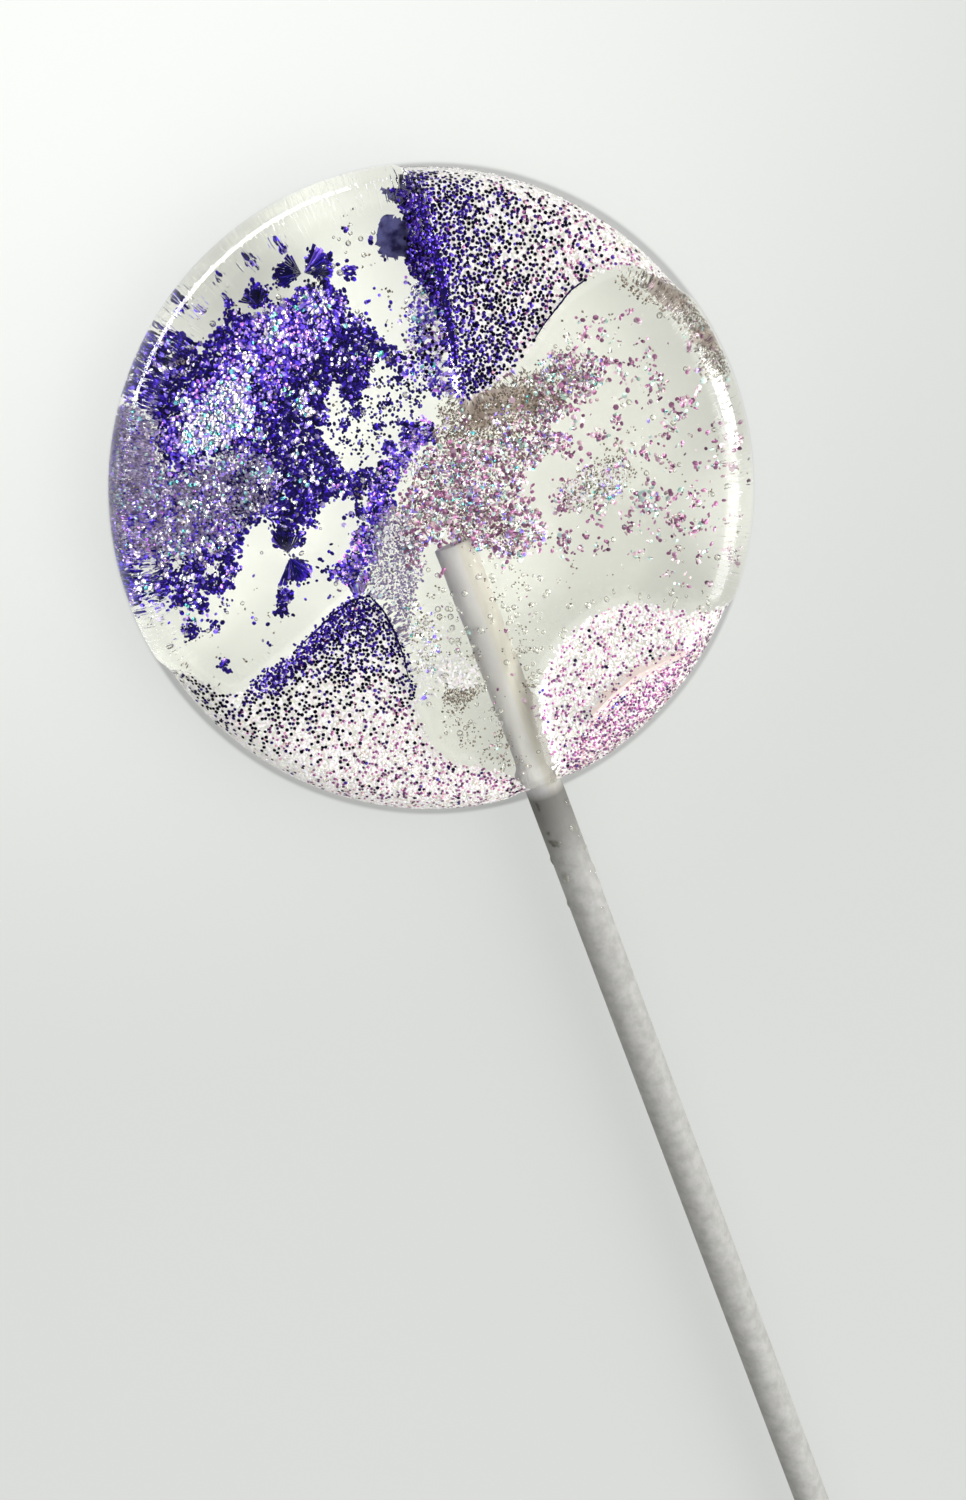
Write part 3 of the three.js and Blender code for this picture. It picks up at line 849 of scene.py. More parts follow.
def disc_section():
    """Radius, height and outward normal along half the disc's section, from the back's middle on."""
    flat = DISC_RADIUS - BACK_EDGE_RADIUS
    face = DISC_RADIUS - POURED_EDGE_RADIUS
    shoulder = DISC_THICKNESS - CROWN_HEIGHT - POURED_EDGE_RADIUS
    section = [(flat * i / BACK_RINGS, 0.0, 0.0, -1.0) for i in range(BACK_RINGS)]
    for i in range(BACK_EDGE_STEPS + 1):
        angle = math.pi / 2 * (i / BACK_EDGE_STEPS - 1)
        across, up = math.cos(angle), math.sin(angle)
        section.append((flat + BACK_EDGE_RADIUS * across, BACK_EDGE_RADIUS * (1 + up), across, up))
    for i in range(1, WALL_STEPS):
        height = BACK_EDGE_RADIUS + (shoulder - BACK_EDGE_RADIUS) * i / WALL_STEPS
        section.append((DISC_RADIUS, height, 1.0, 0.0))
    for i in range(POURED_EDGE_STEPS + 1):
        angle = math.pi / 2 * i / POURED_EDGE_STEPS
        across, up = math.cos(angle), math.sin(angle)
        section.append((face + POURED_EDGE_RADIUS * across, shoulder + POURED_EDGE_RADIUS * up, across, up))
    for i in range(FACE_RINGS - 1, -1, -1):
        share = i / FACE_RINGS
        section.append((face * share, DISC_THICKNESS - CROWN_HEIGHT * share**2, 0.0, 1.0))
    return np.array(section)


def revolve(section, sides):
    """Places, normals and faces of a section turned round +Z, whose first and last points lie on the axis."""
    angles = np.linspace(0, 2 * math.pi, sides, endpoint=False)
    across = np.stack([np.cos(angles), np.sin(angles)], axis=1)
    rings = section[1:-1]

    def turned(radius, height):
        flat = radius[:, None, None] * across[None]
        tall = np.broadcast_to(height[:, None, None], (len(rings), sides, 1))
        return np.concatenate([flat, tall], axis=2).reshape(-1, 3)

    ends = section[[0, -1]]
    zeros = np.zeros(2)
    places = np.vstack([turned(rings[:, 0], rings[:, 1]), np.stack([zeros, zeros, ends[:, 1]], axis=1)])
    normals = np.vstack([turned(rings[:, 2], rings[:, 3]), np.stack([zeros, zeros, ends[:, 3]], axis=1)])
    first, last = len(places) - 2, len(places) - 1
    top = (len(rings) - 1) * sides
    faces = []
    for j in range(sides):
        k = (j + 1) % sides
        faces.append((first, k, j))
        faces.append((last, top + j, top + k))
        for i in range(len(rings) - 1):
            low = i * sides
            faces.append((low + j, low + k, low + sides + k, low + sides + j))
    return places, normals, faces


def face_relief(sugar, places):
    """How far the poured face sinks at each place: petals, creases, dimples, the fold and slow waves."""
    spots = places[:, :2]
    inside = {name: depth_inside(OUTLINES[name], spots) for name in PETALS}
    deepest = np.max(list(inside.values()), axis=0)
    sink = sugar.petal_depth * smooth_step(deepest, -PETAL_SLOPE / 2, PETAL_SLOPE / 2)
    for name, strength in CREASES.items():
        sink += strength * sugar.crease_depth * np.exp(-((inside[name] / sugar.crease_width) ** 2))
    for x, y, radius in DIMPLES:
        away = np.linalg.norm(spots - np.array((x, y)) * MM, axis=1) / (radius * MM)
        sink += sugar.dimple_depth * np.clip(1 - away, 0, 1) ** DIMPLE_SLOPE
    sink -= sugar.fold_height * np.exp(-((distance_to_line(FOLD_LINE, spots) / sugar.fold_width) ** 2))
    x, y = spots.T / MM
    waves = sum(np.sin(along_x * x + along_y * y + start) for along_x, along_y, start in WAVES)
    on_face = 1 - smooth_step(np.linalg.norm(spots, axis=1), *WAVE_FADE)
    sink += sugar.wave_height * waves * on_face
    return sink * smooth_step(places[:, 2], *PETAL_FADE)


def rim_shift(places):
    """How far the rim stands out or is drawn in: the swell on one side, and the notch round the stick."""
    x, y, z = places.T
    radius = np.hypot(x, y)
    swell = SWELL_HEIGHT * np.clip(np.cos(np.arctan2(y, x) - SWELL_ANGLE), 0, 1) ** 2
    notch = NOTCH_DEPTH * np.exp(-(np.hypot(x, z - STICK_HEIGHT) / NOTCH_WIDTH) ** 2)
    return (swell - np.where(y < 0, notch, 0)) * smooth_step(radius, DISC_RADIUS / 2, DISC_RADIUS)


def poured_disc(sugar, lift=0.0):
    """Places and faces of the poured disc with its petals and uneven rim, or of a sheet just off it."""
    places, normals, faces = revolve(disc_section(), DISC_SIDES)
    outward = places * (1, 1, 0)
    outward /= np.maximum(np.linalg.norm(outward, axis=1, keepdims=True), 1e-9)
    sink = face_relief(sugar, places)
    shift = rim_shift(places)
    return places + (lift - sink)[:, None] * normals + shift[:, None] * outward, faces


# Meshes and objects.


def new_mesh(name, places, faces, smooth=True):
    """A mesh from arrays of places and corner numbers."""
    mesh = bpy.data.meshes.new(name)
    mesh.from_pydata(places.tolist(), [], faces)
    mesh.polygons.foreach_set("use_smooth", [smooth] * len(mesh.polygons))
    mesh.update()
    return mesh


def new_piece(name, mesh):
    """An object at the origin that rides on the lollipop's body and takes its finish from a slot."""
    piece = bpy.data.objects.new(name, mesh)
    bpy.context.scene.collection.objects.link(piece)
    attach(piece, BODY)
    return piece


def drift_sheet(name, places, faces, cover):
    """A mesh to scatter flakes on, kept only where there is some cover."""
    kept = [face for face in faces if max(cover[list(face)]) > LEAST_COVER]
    sheet = new_mesh(name, places, kept)
    sheet.attributes.new("cover", "FLOAT", "POINT").data.foreach_set("value", cover)
    return sheet


def grid_faces(rows, columns):
    """Corner numbers of the squares in a grid of places."""
    corner = np.arange(rows * columns).reshape(rows, columns)
    squares = (corner[:-1, :-1], corner[:-1, 1:], corner[1:, 1:], corner[1:, :-1])
    return np.stack(squares, axis=2).reshape(-1, 4).tolist()


def ring_faces(rings, sides):
    """Corner numbers of the squares between closed rings of places."""
    corner = np.arange(rings * sides).reshape(rings, sides)
    beside = np.roll(corner, -1, axis=1)
    return np.stack((corner[:-1], beside[:-1], beside[1:], corner[1:]), axis=2).reshape(-1, 4).tolist()


def level_sheet(kind, level):
    """A flat sheet inside the disc with the cover of one kind of glitter on it."""
    steps = int(2 * DISC_RADIUS / SHEET_STEP) + 1
    line = np.linspace(-DISC_RADIUS, DISC_RADIUS, steps)
    x, y = np.meshgrid(line, line)
    places = np.stack([x.ravel(), y.ravel(), np.full(x.size, level)], axis=1)
    above_shoulder = max(0.0, level - (DISC_THICKNESS - CROWN_HEIGHT - POURED_EDGE_RADIUS))
    edge = math.sqrt(POURED_EDGE_RADIUS**2 - above_shoulder**2)
    reach = DISC_RADIUS - POURED_EDGE_RADIUS + edge - SHEET_MARGIN
    spots = places[:, :2]
    cover = cover_of(kind, spots) * (np.linalg.norm(spots, axis=1) < reach)
    return drift_sheet(kind, places, grid_faces(steps, steps), cover)


def petal_sheet(kind, sugar, lift, fade):
    """A sheet just above the poured face with the cover of one kind, which fades out down the rim."""
    places, faces = poured_disc(sugar, lift)
    cover = cover_of(kind, places[:, :2]) * smooth_step(places[:, 2], *fade)
    return drift_sheet(kind, places, faces, cover)


# Nodes, which are set out in columns.

NODE_STEP = (220, -280)
NODES_IN_COLUMN = 5
MEASURES = ("DISTANCE", "DOT_PRODUCT", "LENGTH")


def set_inputs(tree, node, inputs):
    """Gives inputs their values, links those that are outputs, and leaves those that are None."""
    for key, value in inputs.items():
        if value is None:
            continue
        socket = node.inputs[key]
        if isinstance(value, bpy.types.NodeSocket):
            tree.links.new(value, socket)
        else:
            socket.default_value = (*value, 1) if socket.type == "RGBA" else value


def add_node(tree, kind, inputs=None, **settings):
    """A node with its settings and inputs."""
    column, row = divmod(len(tree.nodes), NODES_IN_COLUMN)
    node = tree.nodes.new(kind)
    node.location = (NODE_STEP[0] * column, NODE_STEP[1] * row)
    for name, value in settings.items():
        setattr(node, name, value)
    set_inputs(tree, node, inputs or {})
    return node


def result(tree, operation, first, second):
    """The result of two numbers."""
    return add_node(tree, "ShaderNodeMath", {0: first, 1: second}, operation=operation).outputs[0]


def vector_result(tree, operation, first, second=None, scale=None):
    """The result of vectors, or what is measured on them."""
    inputs = {0: first, 1: second, "Scale": scale}
    node = add_node(tree, "ShaderNodeVectorMath", inputs, operation=operation)
    return node.outputs["Value" if operation in MEASURES else "Vector"]


def ranged(tree, value, low, high, to_low=0.0, to_high=1.0, form="LINEAR"):
    """A number taken from one range to another, and kept in it."""
    inputs = {"Value": value, "From Min": low, "From Max": high, "To Min": to_low, "To Max": to_high}
    return add_node(tree, "ShaderNodeMapRange", inputs, interpolation_type=form).outputs[0]


def mixed(tree, factor, first, second):
    """A colour between two."""
    return add_node(tree, "ShaderNodeMix", {0: factor, 6: first, 7: second}, data_type="RGBA").outputs[2]


def noise(tree, place, scale, detail, roughness=0.5):
    """A cloudy pattern."""
    inputs = {"Vector": place, "Scale": scale, "Detail": detail, "Roughness": roughness}
    return add_node(tree, "ShaderNodeTexNoise", inputs).outputs[0]


def chance(tree, low, high, seed):
    """A random number on each point."""
    inputs = {2: low, 3: high, "Seed": seed}
    return add_node(tree, "FunctionNodeRandomValue", inputs, data_type="FLOAT").outputs[1]


def combined(tree, x, y, z=None):
    """A vector from its parts."""
    return add_node(tree, "ShaderNodeCombineXYZ", {"X": x, "Y": y, "Z": z}).outputs[0]


def bump(tree, height, distance, strength=None, normal=None):
    """A normal that follows a height."""
    inputs = {"Height": height, "Distance": distance, "Strength": strength, "Normal": normal}
    return add_node(tree, "ShaderNodeBump", inputs).outputs[0]


def grey_ramp(tree, value, stops):
    """The grey for a value, from stops."""
    ramp = add_node(tree, "ShaderNodeValToRGB", {0: value})
    marks = ramp.color_ramp.elements
    while len(marks) < len(stops):
        marks.new(1.0)
    for mark, (position, grey) in zip(marks, stops):
        mark.position = position
        mark.color = (grey, grey, grey, 1)
    return ramp.outputs[0]


def object_place(tree):
    """Places on the object, as a vector and as its parts."""
    place = add_node(tree, "ShaderNodeTexCoord").outputs["Object"]
    return place, add_node(tree, "ShaderNodeSeparateXYZ", {0: place}).outputs


def new_group(name, kind, inputs, outputs):
    """A node group with its sockets, and the outputs of its entry."""
    tree = bpy.data.node_groups.new(name, kind)
    for way, sockets in (("INPUT", inputs), ("OUTPUT", outputs)):
        for socket, value_kind in sockets.items():
            tree.interface.new_socket(name=socket, in_out=way, socket_type=f"NodeSocket{value_kind}")
    return tree, add_node(tree, "NodeGroupInput").outputs


# Shapes and the tree that scatters them.


def flake_shape(tree, entry):
    """A thin flake, flat below and slightly raised to its middle above."""
    half = result(tree, "MULTIPLY", entry["Width"], 0.5)
    inputs = {
        "Vertices": entry["Sides"], "Radius Top": 0.0, "Radius Bottom": half, "Depth": entry["Thickness"],
    }
    return add_node(tree, "GeometryNodeMeshCone", inputs).outputs["Mesh"]


def ball_shape(tree, entry, fineness):
    """A small smooth ball."""
    half = result(tree, "MULTIPLY", entry["Width"], 0.5)
    inputs = {"Radius": half, "Subdivisions": fineness}
    ball = add_node(tree, "GeometryNodeMeshIcoSphere", inputs).outputs["Mesh"]
    return add_node(tree, "GeometryNodeSetShadeSmooth", {"Geometry": ball}).outputs["Geometry"]


def bead_shape(tree, entry):
    """A small smooth ball pressed flat."""
    inputs = {"Geometry": ball_shape(tree, entry, 3), "Scale": BEAD_FORM}
    return add_node(tree, "GeometryNodeTransform", inputs).outputs["Geometry"]


def hollow_shape(tree, entry):
    """A small smooth ball turned inside out, so that it is a hollow in what it lies in."""
    return add_node(tree, "GeometryNodeFlipFaces", {"Mesh": ball_shape(tree, entry, 2)}).outputs["Mesh"]


SCATTER_SIZES = {
    "Gap": "Float",
    "Clumping": "Float",
    "Clump Size": "Float",
    "Width": "Float",
    "Thickness": "Float",
    "Sides": "Int",
    "Spread": "Float",
    "Narrow": "Float",
    "Depth": "Float",
    "Tilt": "Float",
    "Lean": "Float",
    "Seed": "Int",
}
SCATTER_INPUTS = {"Sheet": "Geometry", "Per Area": "Float", **SCATTER_SIZES, "Material": "Material"}


def turned_by(tree, rotation, angles, space):
    """A rotation that is turned further."""
    further = add_node(tree, "FunctionNodeEulerToRotation", {0: angles}).outputs[0]
    inputs = {"Rotation": rotation, "Rotate By": further}
    return add_node(tree, "FunctionNodeRotateRotation", inputs, rotation_space=space).outputs[0]


def scatter_tree(name, shape):
    """A tree that scatters one shape over a sheet, in clumps where the sheet's cover is thin."""
    tree, entry = new_group(name, "GeometryNodeTree", SCATTER_INPUTS, {"Pieces": "Geometry"})
    points = add_node(
        tree, "GeometryNodeDistributePointsOnFaces",
        {
            "Mesh": entry["Sheet"], "Distance Min": entry["Gap"], "Density Max": entry["Per Area"],
            "Seed": entry["Seed"],
        },
        distribute_method="POISSON",
    ).outputs

    # A point goes where a clump pattern, or plain chance, comes out above the cover.
    place = add_node(tree, "GeometryNodeInputPosition").outputs[0]
    clumps = noise(tree, place, result(tree, "DIVIDE", 1.0, entry["Clump Size"]), 5.0, 0.7)
    ragged = ranged(tree, clumps, 0.3, 0.7)
    choices = {"Factor": entry["Clumping"], "A": chance(tree, 0.0, 1.0, 1), "B": ragged}
    limit = add_node(tree, "ShaderNodeMix", choices).outputs[0]
    cover = add_node(tree, "GeometryNodeInputNamedAttribute", {"Name": "cover"}, data_type="FLOAT")
    bare = add_node(
        tree, "FunctionNodeCompare", {0: limit, 1: cover.outputs["Attribute"]},
        data_type="FLOAT", operation="GREATER_THAN",
    ).outputs[0]
    kept = add_node(
        tree, "GeometryNodeDeleteGeometry", {"Geometry": points["Points"], "Selection": bare}, domain="POINT",
    ).outputs[0]

    # Each point sinks below the sheet by chance.
    down = result(tree, "MULTIPLY", chance(tree, 0.0, entry["Depth"], 2), -1.0)
    inward = vector_result(tree, "SCALE", points["Normal"], scale=down)
    placed = add_node(tree, "GeometryNodeSetPosition", {"Geometry": kept, "Offset": inward}).outputs[0]

    # All shapes lean from the sheet's own slope towards the light, and each leans further by chance.
    axis = vector_result(tree, "SCALE", (-LIGHT_SIDE[1], LIGHT_SIDE[0], 0.0), scale=entry["Lean"])
    to_light = turned_by(tree, points["Rotation"], axis, "GLOBAL")
    back = result(tree, "MULTIPLY", entry["Tilt"], -1.0)
    most = combined(tree, entry["Tilt"], entry["Tilt"], math.tau)
    leans = {0: combined(tree, back, back), 1: most, "Seed": 3}
    lean = add_node(tree, "FunctionNodeRandomValue", leans, data_type="FLOAT_VECTOR").outputs[0]
    rotation = turned_by(tree, to_light, lean, "LOCAL")

    # The shapes differ in size and width.
    small, large = (result(tree, way, 1.0, entry["Spread"]) for way in ("SUBTRACT", "ADD"))
    size = chance(tree, small, large, 4)
    across = result(tree, "MULTIPLY", size, chance(tree, entry["Narrow"], 1.0, 7))
    form = combined(tree, size, across, size)
    shapes = {"Points": placed, "Instance": shape(tree, entry), "Rotation": rotation, "Scale": form}
    geometry = add_node(tree, "GeometryNodeInstanceOnPoints", shapes).outputs[0]

    # Two random numbers on each shape choose its colour.
    for seed, attribute in ((5, "tint"), (6, "hue")):
        stored = {"Geometry": geometry, "Name": attribute, "Value": chance(tree, 0.0, 1.0, seed)}
        geometry = add_node(
            tree, "GeometryNodeStoreNamedAttribute", stored, data_type="FLOAT", domain="INSTANCE",
        ).outputs[0]
    real = add_node(tree, "GeometryNodeRealizeInstances", {"Geometry": geometry}).outputs[0]
    painted = add_node(tree, "GeometryNodeSetMaterial", {"Geometry": real, "Material": entry["Material"]})
    add_node(tree, "NodeGroupOutput", {"Pieces": painted.outputs[0]})
    return tree


def scatter(name, sheet, tree, values):
    """The plain mesh that a scatter tree makes over a sheet, which is used up."""
    holder = bpy.data.objects.new(name, sheet)
    bpy.context.scene.collection.objects.link(holder)
    modifier = holder.modifiers.new("Scatter", "NODES")
    modifier.node_group = tree
    for item in tree.interface.items_tree:
        if item.in_out == "INPUT" and item.name in values:
            modifier[item.identifier] = values[item.name]
    depsgraph = bpy.context.evaluated_depsgraph_get()
    mesh = bpy.data.meshes.new_from_object(
        holder.evaluated_get(depsgraph), preserve_all_data_layers=True, depsgraph=depsgraph,
    )
    bpy.data.objects.remove(holder)
    bpy.data.meshes.remove(sheet)
    if not mesh.polygons:
        raise RuntimeError(f"{name} came out empty")
    mesh.name = name
    return mesh


# Materials.


def new_material(name):
    """A material, its tree and its Principled shader."""
    material = bpy.data.materials.new(name)
    material.use_nodes = True
    tree = material.node_tree
    tree.nodes.clear()
    shader = add_node(tree, "ShaderNodeBsdfPrincipled")
    add_node(tree, "ShaderNodeOutputMaterial", {"Surface": shader.outputs["BSDF"]})
    return material, tree, shader


def sugar_material(sugar):
    """Clear set sugar: glassy, with faint waves, a slightly uneven gloss and radial streaks in the rim."""
    material, tree, shader = new_material("Clear sugar")
    place, at = object_place(tree)
    gloss = ranged(tree, noise(tree, place, SMEARS, 3.0), *SMEAR_RANGE, *SUGAR_ROUGHNESS)
    rippled = bump(tree, noise(tree, place, RIPPLES, 2.0), *RIPPLE_RELIEF)
    out = vector_result(tree, "LENGTH", vector_result(tree, "MULTIPLY", place, (1, 1, 0)))
    round_disc = combined(tree, result(tree, "ARCTAN2", at["Y"], at["X"]), out)
    stretch = (DISC_RADIUS / sugar.streak_width, 1 / sugar.streak_length, 1)
    streaks = noise(tree, vector_result(tree, "MULTIPLY", round_disc, stretch), 1.0, 0.0)
    at_rim = ranged(tree, out, STREAK_START * DISC_RADIUS, STREAK_FULL * DISC_RADIUS)
    height = result(tree, "MULTIPLY", ranged(tree, streaks, *STREAK_RANGE), at_rim)
    set_inputs(tree, shader, {
        "Base Color": sugar.colour,
        "Roughness": gloss,
        "IOR": sugar.refraction,
        "Transmission Weight": 1.0,
        "Normal": bump(tree, height, sugar.streak_depth, normal=rippled),
    })
    return material


def paper_material(stick):
    """Rolled white paper with a cloudy fibre, darker where it is damp and paler inside the sugar."""
    material, tree, shader = new_material("White paper")
    place, at = object_place(tree)
    rim = -DISC_RADIUS
    clouds = noise(tree, place, FIBRES, 5.0, 0.65)
    dry = mixed(tree, ranged(tree, clouds, *FIBRE_RANGE), stick.fibre, stick.paper)
    # The paper darkens towards the rim over the dark band's reach.
    dark_band = ranged(tree, at["Y"], rim - stick.dark_band_reach, rim, form="SMOOTHSTEP")
    edge = ranged(tree, at["X"], stick.free_edge_from, stick.free_edge_from + FREE_EDGE_FADE)
    inside = mixed(tree, edge, stick.soaked, stick.free_edge)
    held = ranged(tree, at["Y"], rim + SOAKED_FROM, rim + SOAKED_TO)
    set_inputs(tree, shader, {
        "Base Color": mixed(tree, held, mixed(tree, dark_band, dry, stick.dark_band), inside),
        "Roughness": ranged(tree, clouds, 0.0, 1.0, *PAPER_ROUGHNESS),
        "Specular IOR Level": 0.3,
        "Normal": bump(tree, clouds, *FIBRE_RELIEF),
    })
    return material


# The glitter tint's inputs: painted shade, the flakes' own colour, two painted glints, their shares and a
# painted sheen.
TINT_INPUTS = {
    "Deep": "Color",
    "Main": "Color",
    "Light": "Color",
    "Spark": "Color",
    "Light From": "Float",
    "Spark From": "Float",
    "Rainbow": "Float",
}


def glitter_tint_group():
    """A node group that turns a flake's two random numbers into its colour and gloss."""
    outputs = {"Colour": "Color", "Roughness": "Float"}
    tree, entry = new_group("Glitter tint", "ShaderNodeTree", TINT_INPUTS, outputs)
    tint, hue = (
        add_node(tree, "ShaderNodeAttribute", attribute_name=name).outputs["Fac"] for name in ("tint", "hue")
    )
    # Painted rainbow sheen for the painted glints.
    sheen_parts = {0: hue, 1: SHEEN_SATURATION, 2: SHEEN_VALUE}
    sheen = add_node(tree, "ShaderNodeCombineColor", sheen_parts, mode="HSV").outputs[0]
    # Painted shade fades into the flakes' own colour as the tint rises, and painted glints take the highest
    # tints.
    colour = mixed(tree, ranged(tree, tint, 0.0, entry["Light From"]), entry["Deep"], entry["Main"])
    for name in ("Light", "Spark"):
        over = result(tree, "GREATER_THAN", tint, entry[f"{name} From"])
        colour = mixed(tree, over, colour, mixed(tree, entry["Rainbow"], entry[name], sheen))
    gloss = ranged(tree, hue, 0.0, 1.0, *FLAKE_ROUGHNESS)
    add_node(tree, "NodeGroupOutput", {"Colour": colour, "Roughness": gloss})
    return tree


def values_of(settings, sockets):
    """The settings that go with some sockets, by the sockets' names."""
    return {socket: getattr(settings, socket.lower().replace(" ", "_")) for socket in sockets}


def glitter_material(name, flakes):
    """Foil flakes, each with a colour of its own."""
    material, tree, shader = new_material(name)
    group = bpy.data.node_groups.get("Glitter tint") or glitter_tint_group()
    tint = add_node(tree, "ShaderNodeGroup", node_tree=group)
    set_inputs(tree, tint, values_of(flakes, TINT_INPUTS))
    set_inputs(tree, shader, {
        "Base Color": tint.outputs["Colour"],
        "Roughness": tint.outputs["Roughness"],
        "Metallic": flakes.metallic,
    })
    return material


def film_material(name, dark, pale):
    """Cloudy coloured sugar, which is darkest where it lies on the poured face."""
    material, tree, shader = new_material(name)
    place, at = object_place(tree)
    mottle = ranged(tree, noise(tree, place, FILM_CLOUDS, 5.0), *FILM_RANGE)
    # Painted crease shade: the dark colour where the film lies on the poured face.
    on_face = ranged(tree, at["Z"], FILM_LEVEL, FILM_LEVEL + FILM_FADE)
    colour = mixed(tree, on_face, mixed(tree, mottle, dark, pale), dark)
    set_inputs(tree, shader, {"Base Color": colour, "Roughness": MATT, "Specular IOR Level": 0.0})
    return material


def floor_material(stage):
    """A plain pale floor with a faint grain, lit from below as well so that clear sugar stays bright."""
    material, tree, shader = new_material("Pale floor")
    place, at = object_place(tree)
    darker = [GRAIN_SHADE * part for part in stage.floor]
    colour = mixed(tree, noise(tree, place, FLOOR_GRAIN, 2.0), darker, stage.floor)

    def product(first, *others):
        """Some numbers multiplied."""
        for other in others:
            first = result(tree, "MULTIPLY", first, other)
        return first

    def glow_patch(middle, fade, end, change):
        """The share by which a round patch of the floor changes its glow."""
        away = vector_result(tree, "DISTANCE", place, middle)
        return ranged(tree, away, fade, end, 1 + change, 1.0, "SMOOTHSTEP")

    # Painted pools of light and shade below the disc, and a painted shadow round it.
    near = product(*(glow_patch(*patch) for patch in NEAR_PATCHES))
    out = vector_result(tree, "DISTANCE", place, RIM_SHADE_MIDDLE)
    below_disc = ranged(tree, out, *BELOW_DISC, near, 1.0)
    in_radii = ranged(tree, out, 0.0, RIM_SHADE_END * DISC_RADIUS)
    shade = grey_ramp(tree, in_radii, [(radii / RIM_SHADE_END, left) for radii, left in RIM_SHADE])
    glow = stage.floor_glow / max(stage.floor)
    set_inputs(tree, shader, {
        "Base Color": colour,
        "Roughness": MATT,
        "Specular IOR Level": 0.0,
        "Emission Color": colour,
        "Emission Strength": product(glow_patch(*FAR_POOL), below_disc, shade, glow),
    })
    return material


# Pieces.


def make_glitter(kind, flakes, sheet):
    """One kind of glitter as one piece."""
    tree = bpy.data.node_groups.get("Scatter flakes") or scatter_tree("Scatter flakes", flake_shape)
    material = glitter_material(kind.replace("_", " ").capitalize(), flakes)
    values = {"Per Area": flakes.per_mm2 / MM**2, **values_of(flakes, SCATTER_SIZES), "Material": material}
    new_piece(kind, scatter(kind, sheet, tree, values))


def make_fans():
    """Fans of long flakes that spread from knots, each flake with a ridge along its middle."""
    draws = np.random.default_rng(FAN_SEED)
    places, faces, tints = [], [], []
    for knot, reach, direction, half_angle in FANS:
        half = math.radians(half_angle)
        for turn_by in np.arange(-half, half, FAN_BLADE_TURN):
            middle = math.radians(direction) + turn_by
            out = reach * MM * draws.uniform(*FAN_BLADE_REACH)
            start = len(places)
            low = FAN_LEVEL + FAN_RIDGE * draws.uniform(-1, 1)
            places.append((0, 0, low))
            for angle, share, height in FAN_BLADE_CORNERS:
                way = middle + angle * FAN_BLADE_TURN
                places.append((out * share * math.cos(way), out * share * math.sin(way), low + height))
            for place in range(start, start + 4):
                x, y, z = places[place]
                places[place] = (x + knot[0] * MM, y + knot[1] * MM, z)
            faces += [[start + corner for corner in face] for face in FAN_BLADE_FACES]
            tints += [draws.uniform(*FAN_TINTS)] * 4
    mesh = new_mesh("violet_fans", np.array(places), faces, smooth=False)
    for attribute in ("tint", "hue"):
        mesh.attributes.new(attribute, "FLOAT", "POINT").data.foreach_set("value", tints)
    mesh.materials.append(bpy.data.materials["Violet flakes"])
    new_piece("violet_fans", mesh)


def face_height(sugar, spots):
    """Height of the poured face above each spot."""
    face = DISC_RADIUS - POURED_EDGE_RADIUS
    radius = np.linalg.norm(spots, axis=1)
    over = np.clip(radius - face, 0, POURED_EDGE_RADIUS)
    edge_drop = POURED_EDGE_RADIUS - np.sqrt(POURED_EDGE_RADIUS**2 - over**2)
    height = DISC_THICKNESS - CROWN_HEIGHT * np.minimum(radius / face, 1) ** 2 - edge_drop
    return height - face_relief(sugar, np.column_stack([spots, height]))


def strip_parts(sugar, widths, points, draws):
    """Places and faces of a thin ragged strip that lies on the poured face along a line."""
    corners = np.array(points, float) * MM
    reach = np.concatenate([[0], np.cumsum(np.linalg.norm(np.diff(corners, axis=0), axis=1))])
    along = np.linspace(0, reach[-1], int(reach[-1] / FILM_STEP))
    middle = np.stack([np.interp(along, reach, corners[:, axis]) for axis in (0, 1)], axis=1)
    way = np.gradient(middle, axis=0)
    way /= np.linalg.norm(way, axis=1, keepdims=True)
    side = np.stack([-way[:, 1], way[:, 0]], axis=1)
    half = np.interp(along, [0, reach[-1]], widths) * MM / 2
    half = (half * np.sin(np.pi * np.clip(along / reach[-1], *LINE_ENDS)) ** LINE_TAPER)[:, None]
    rows = []
    for way_out in (1, 0, -1):
        rows.append(middle + side * half * draws.uniform(*LINE_RAGGEDNESS, half.shape) * way_out)
    tops = [np.column_stack([row, face_height(sugar, row) + FILM_THICKNESS]) for row in rows]
    lows = [top - (0, 0, 2 * FILM_THICKNESS) for top in reversed(tops)]
    ring = len(tops) + len(lows)
    places = np.stack(tops + lows, axis=1).reshape(-1, 3)
    faces = ring_faces(len(along), ring)
    faces.append(list(reversed(range(ring))))
    faces.append(list(range(len(places) - ring, len(places))))
    return places, faces


def plate_parts(points, level, draws):
    """Places and faces of a thin flat plate with a ragged outline."""
    outline = closed_curve(points)
    outline += draws.normal(0, FILM_RAGGEDNESS, outline.shape)
    count = len(outline)
    heights = (level, level - FILM_THICKNESS)
    levels = [np.column_stack([outline, np.full(count, height)]) for height in heights]
    faces = [list(reversed(range(count))), list(range(count, 2 * count)), *ring_faces(2, count)]
    return np.concatenate(levels), faces


def thin_piece(name, parts, material):
    """A piece of thin closed plates and strips, with its faces turned outwards."""
    places, faces = [], []
    for own_places, own_faces in parts:
        start = sum(len(done) for done in places)
        places.append(own_places)
        faces += [[start + corner for corner in face] for face in own_faces]
    mesh = new_mesh(name, np.concatenate(places), faces, smooth=False)
    work = bmesh.new()
    work.from_mesh(mesh)
    bmesh.ops.recalc_face_normals(work, faces=work.faces)
    work.to_mesh(mesh)
    work.free()
    mesh.materials.append(material)
    new_piece(name, mesh)


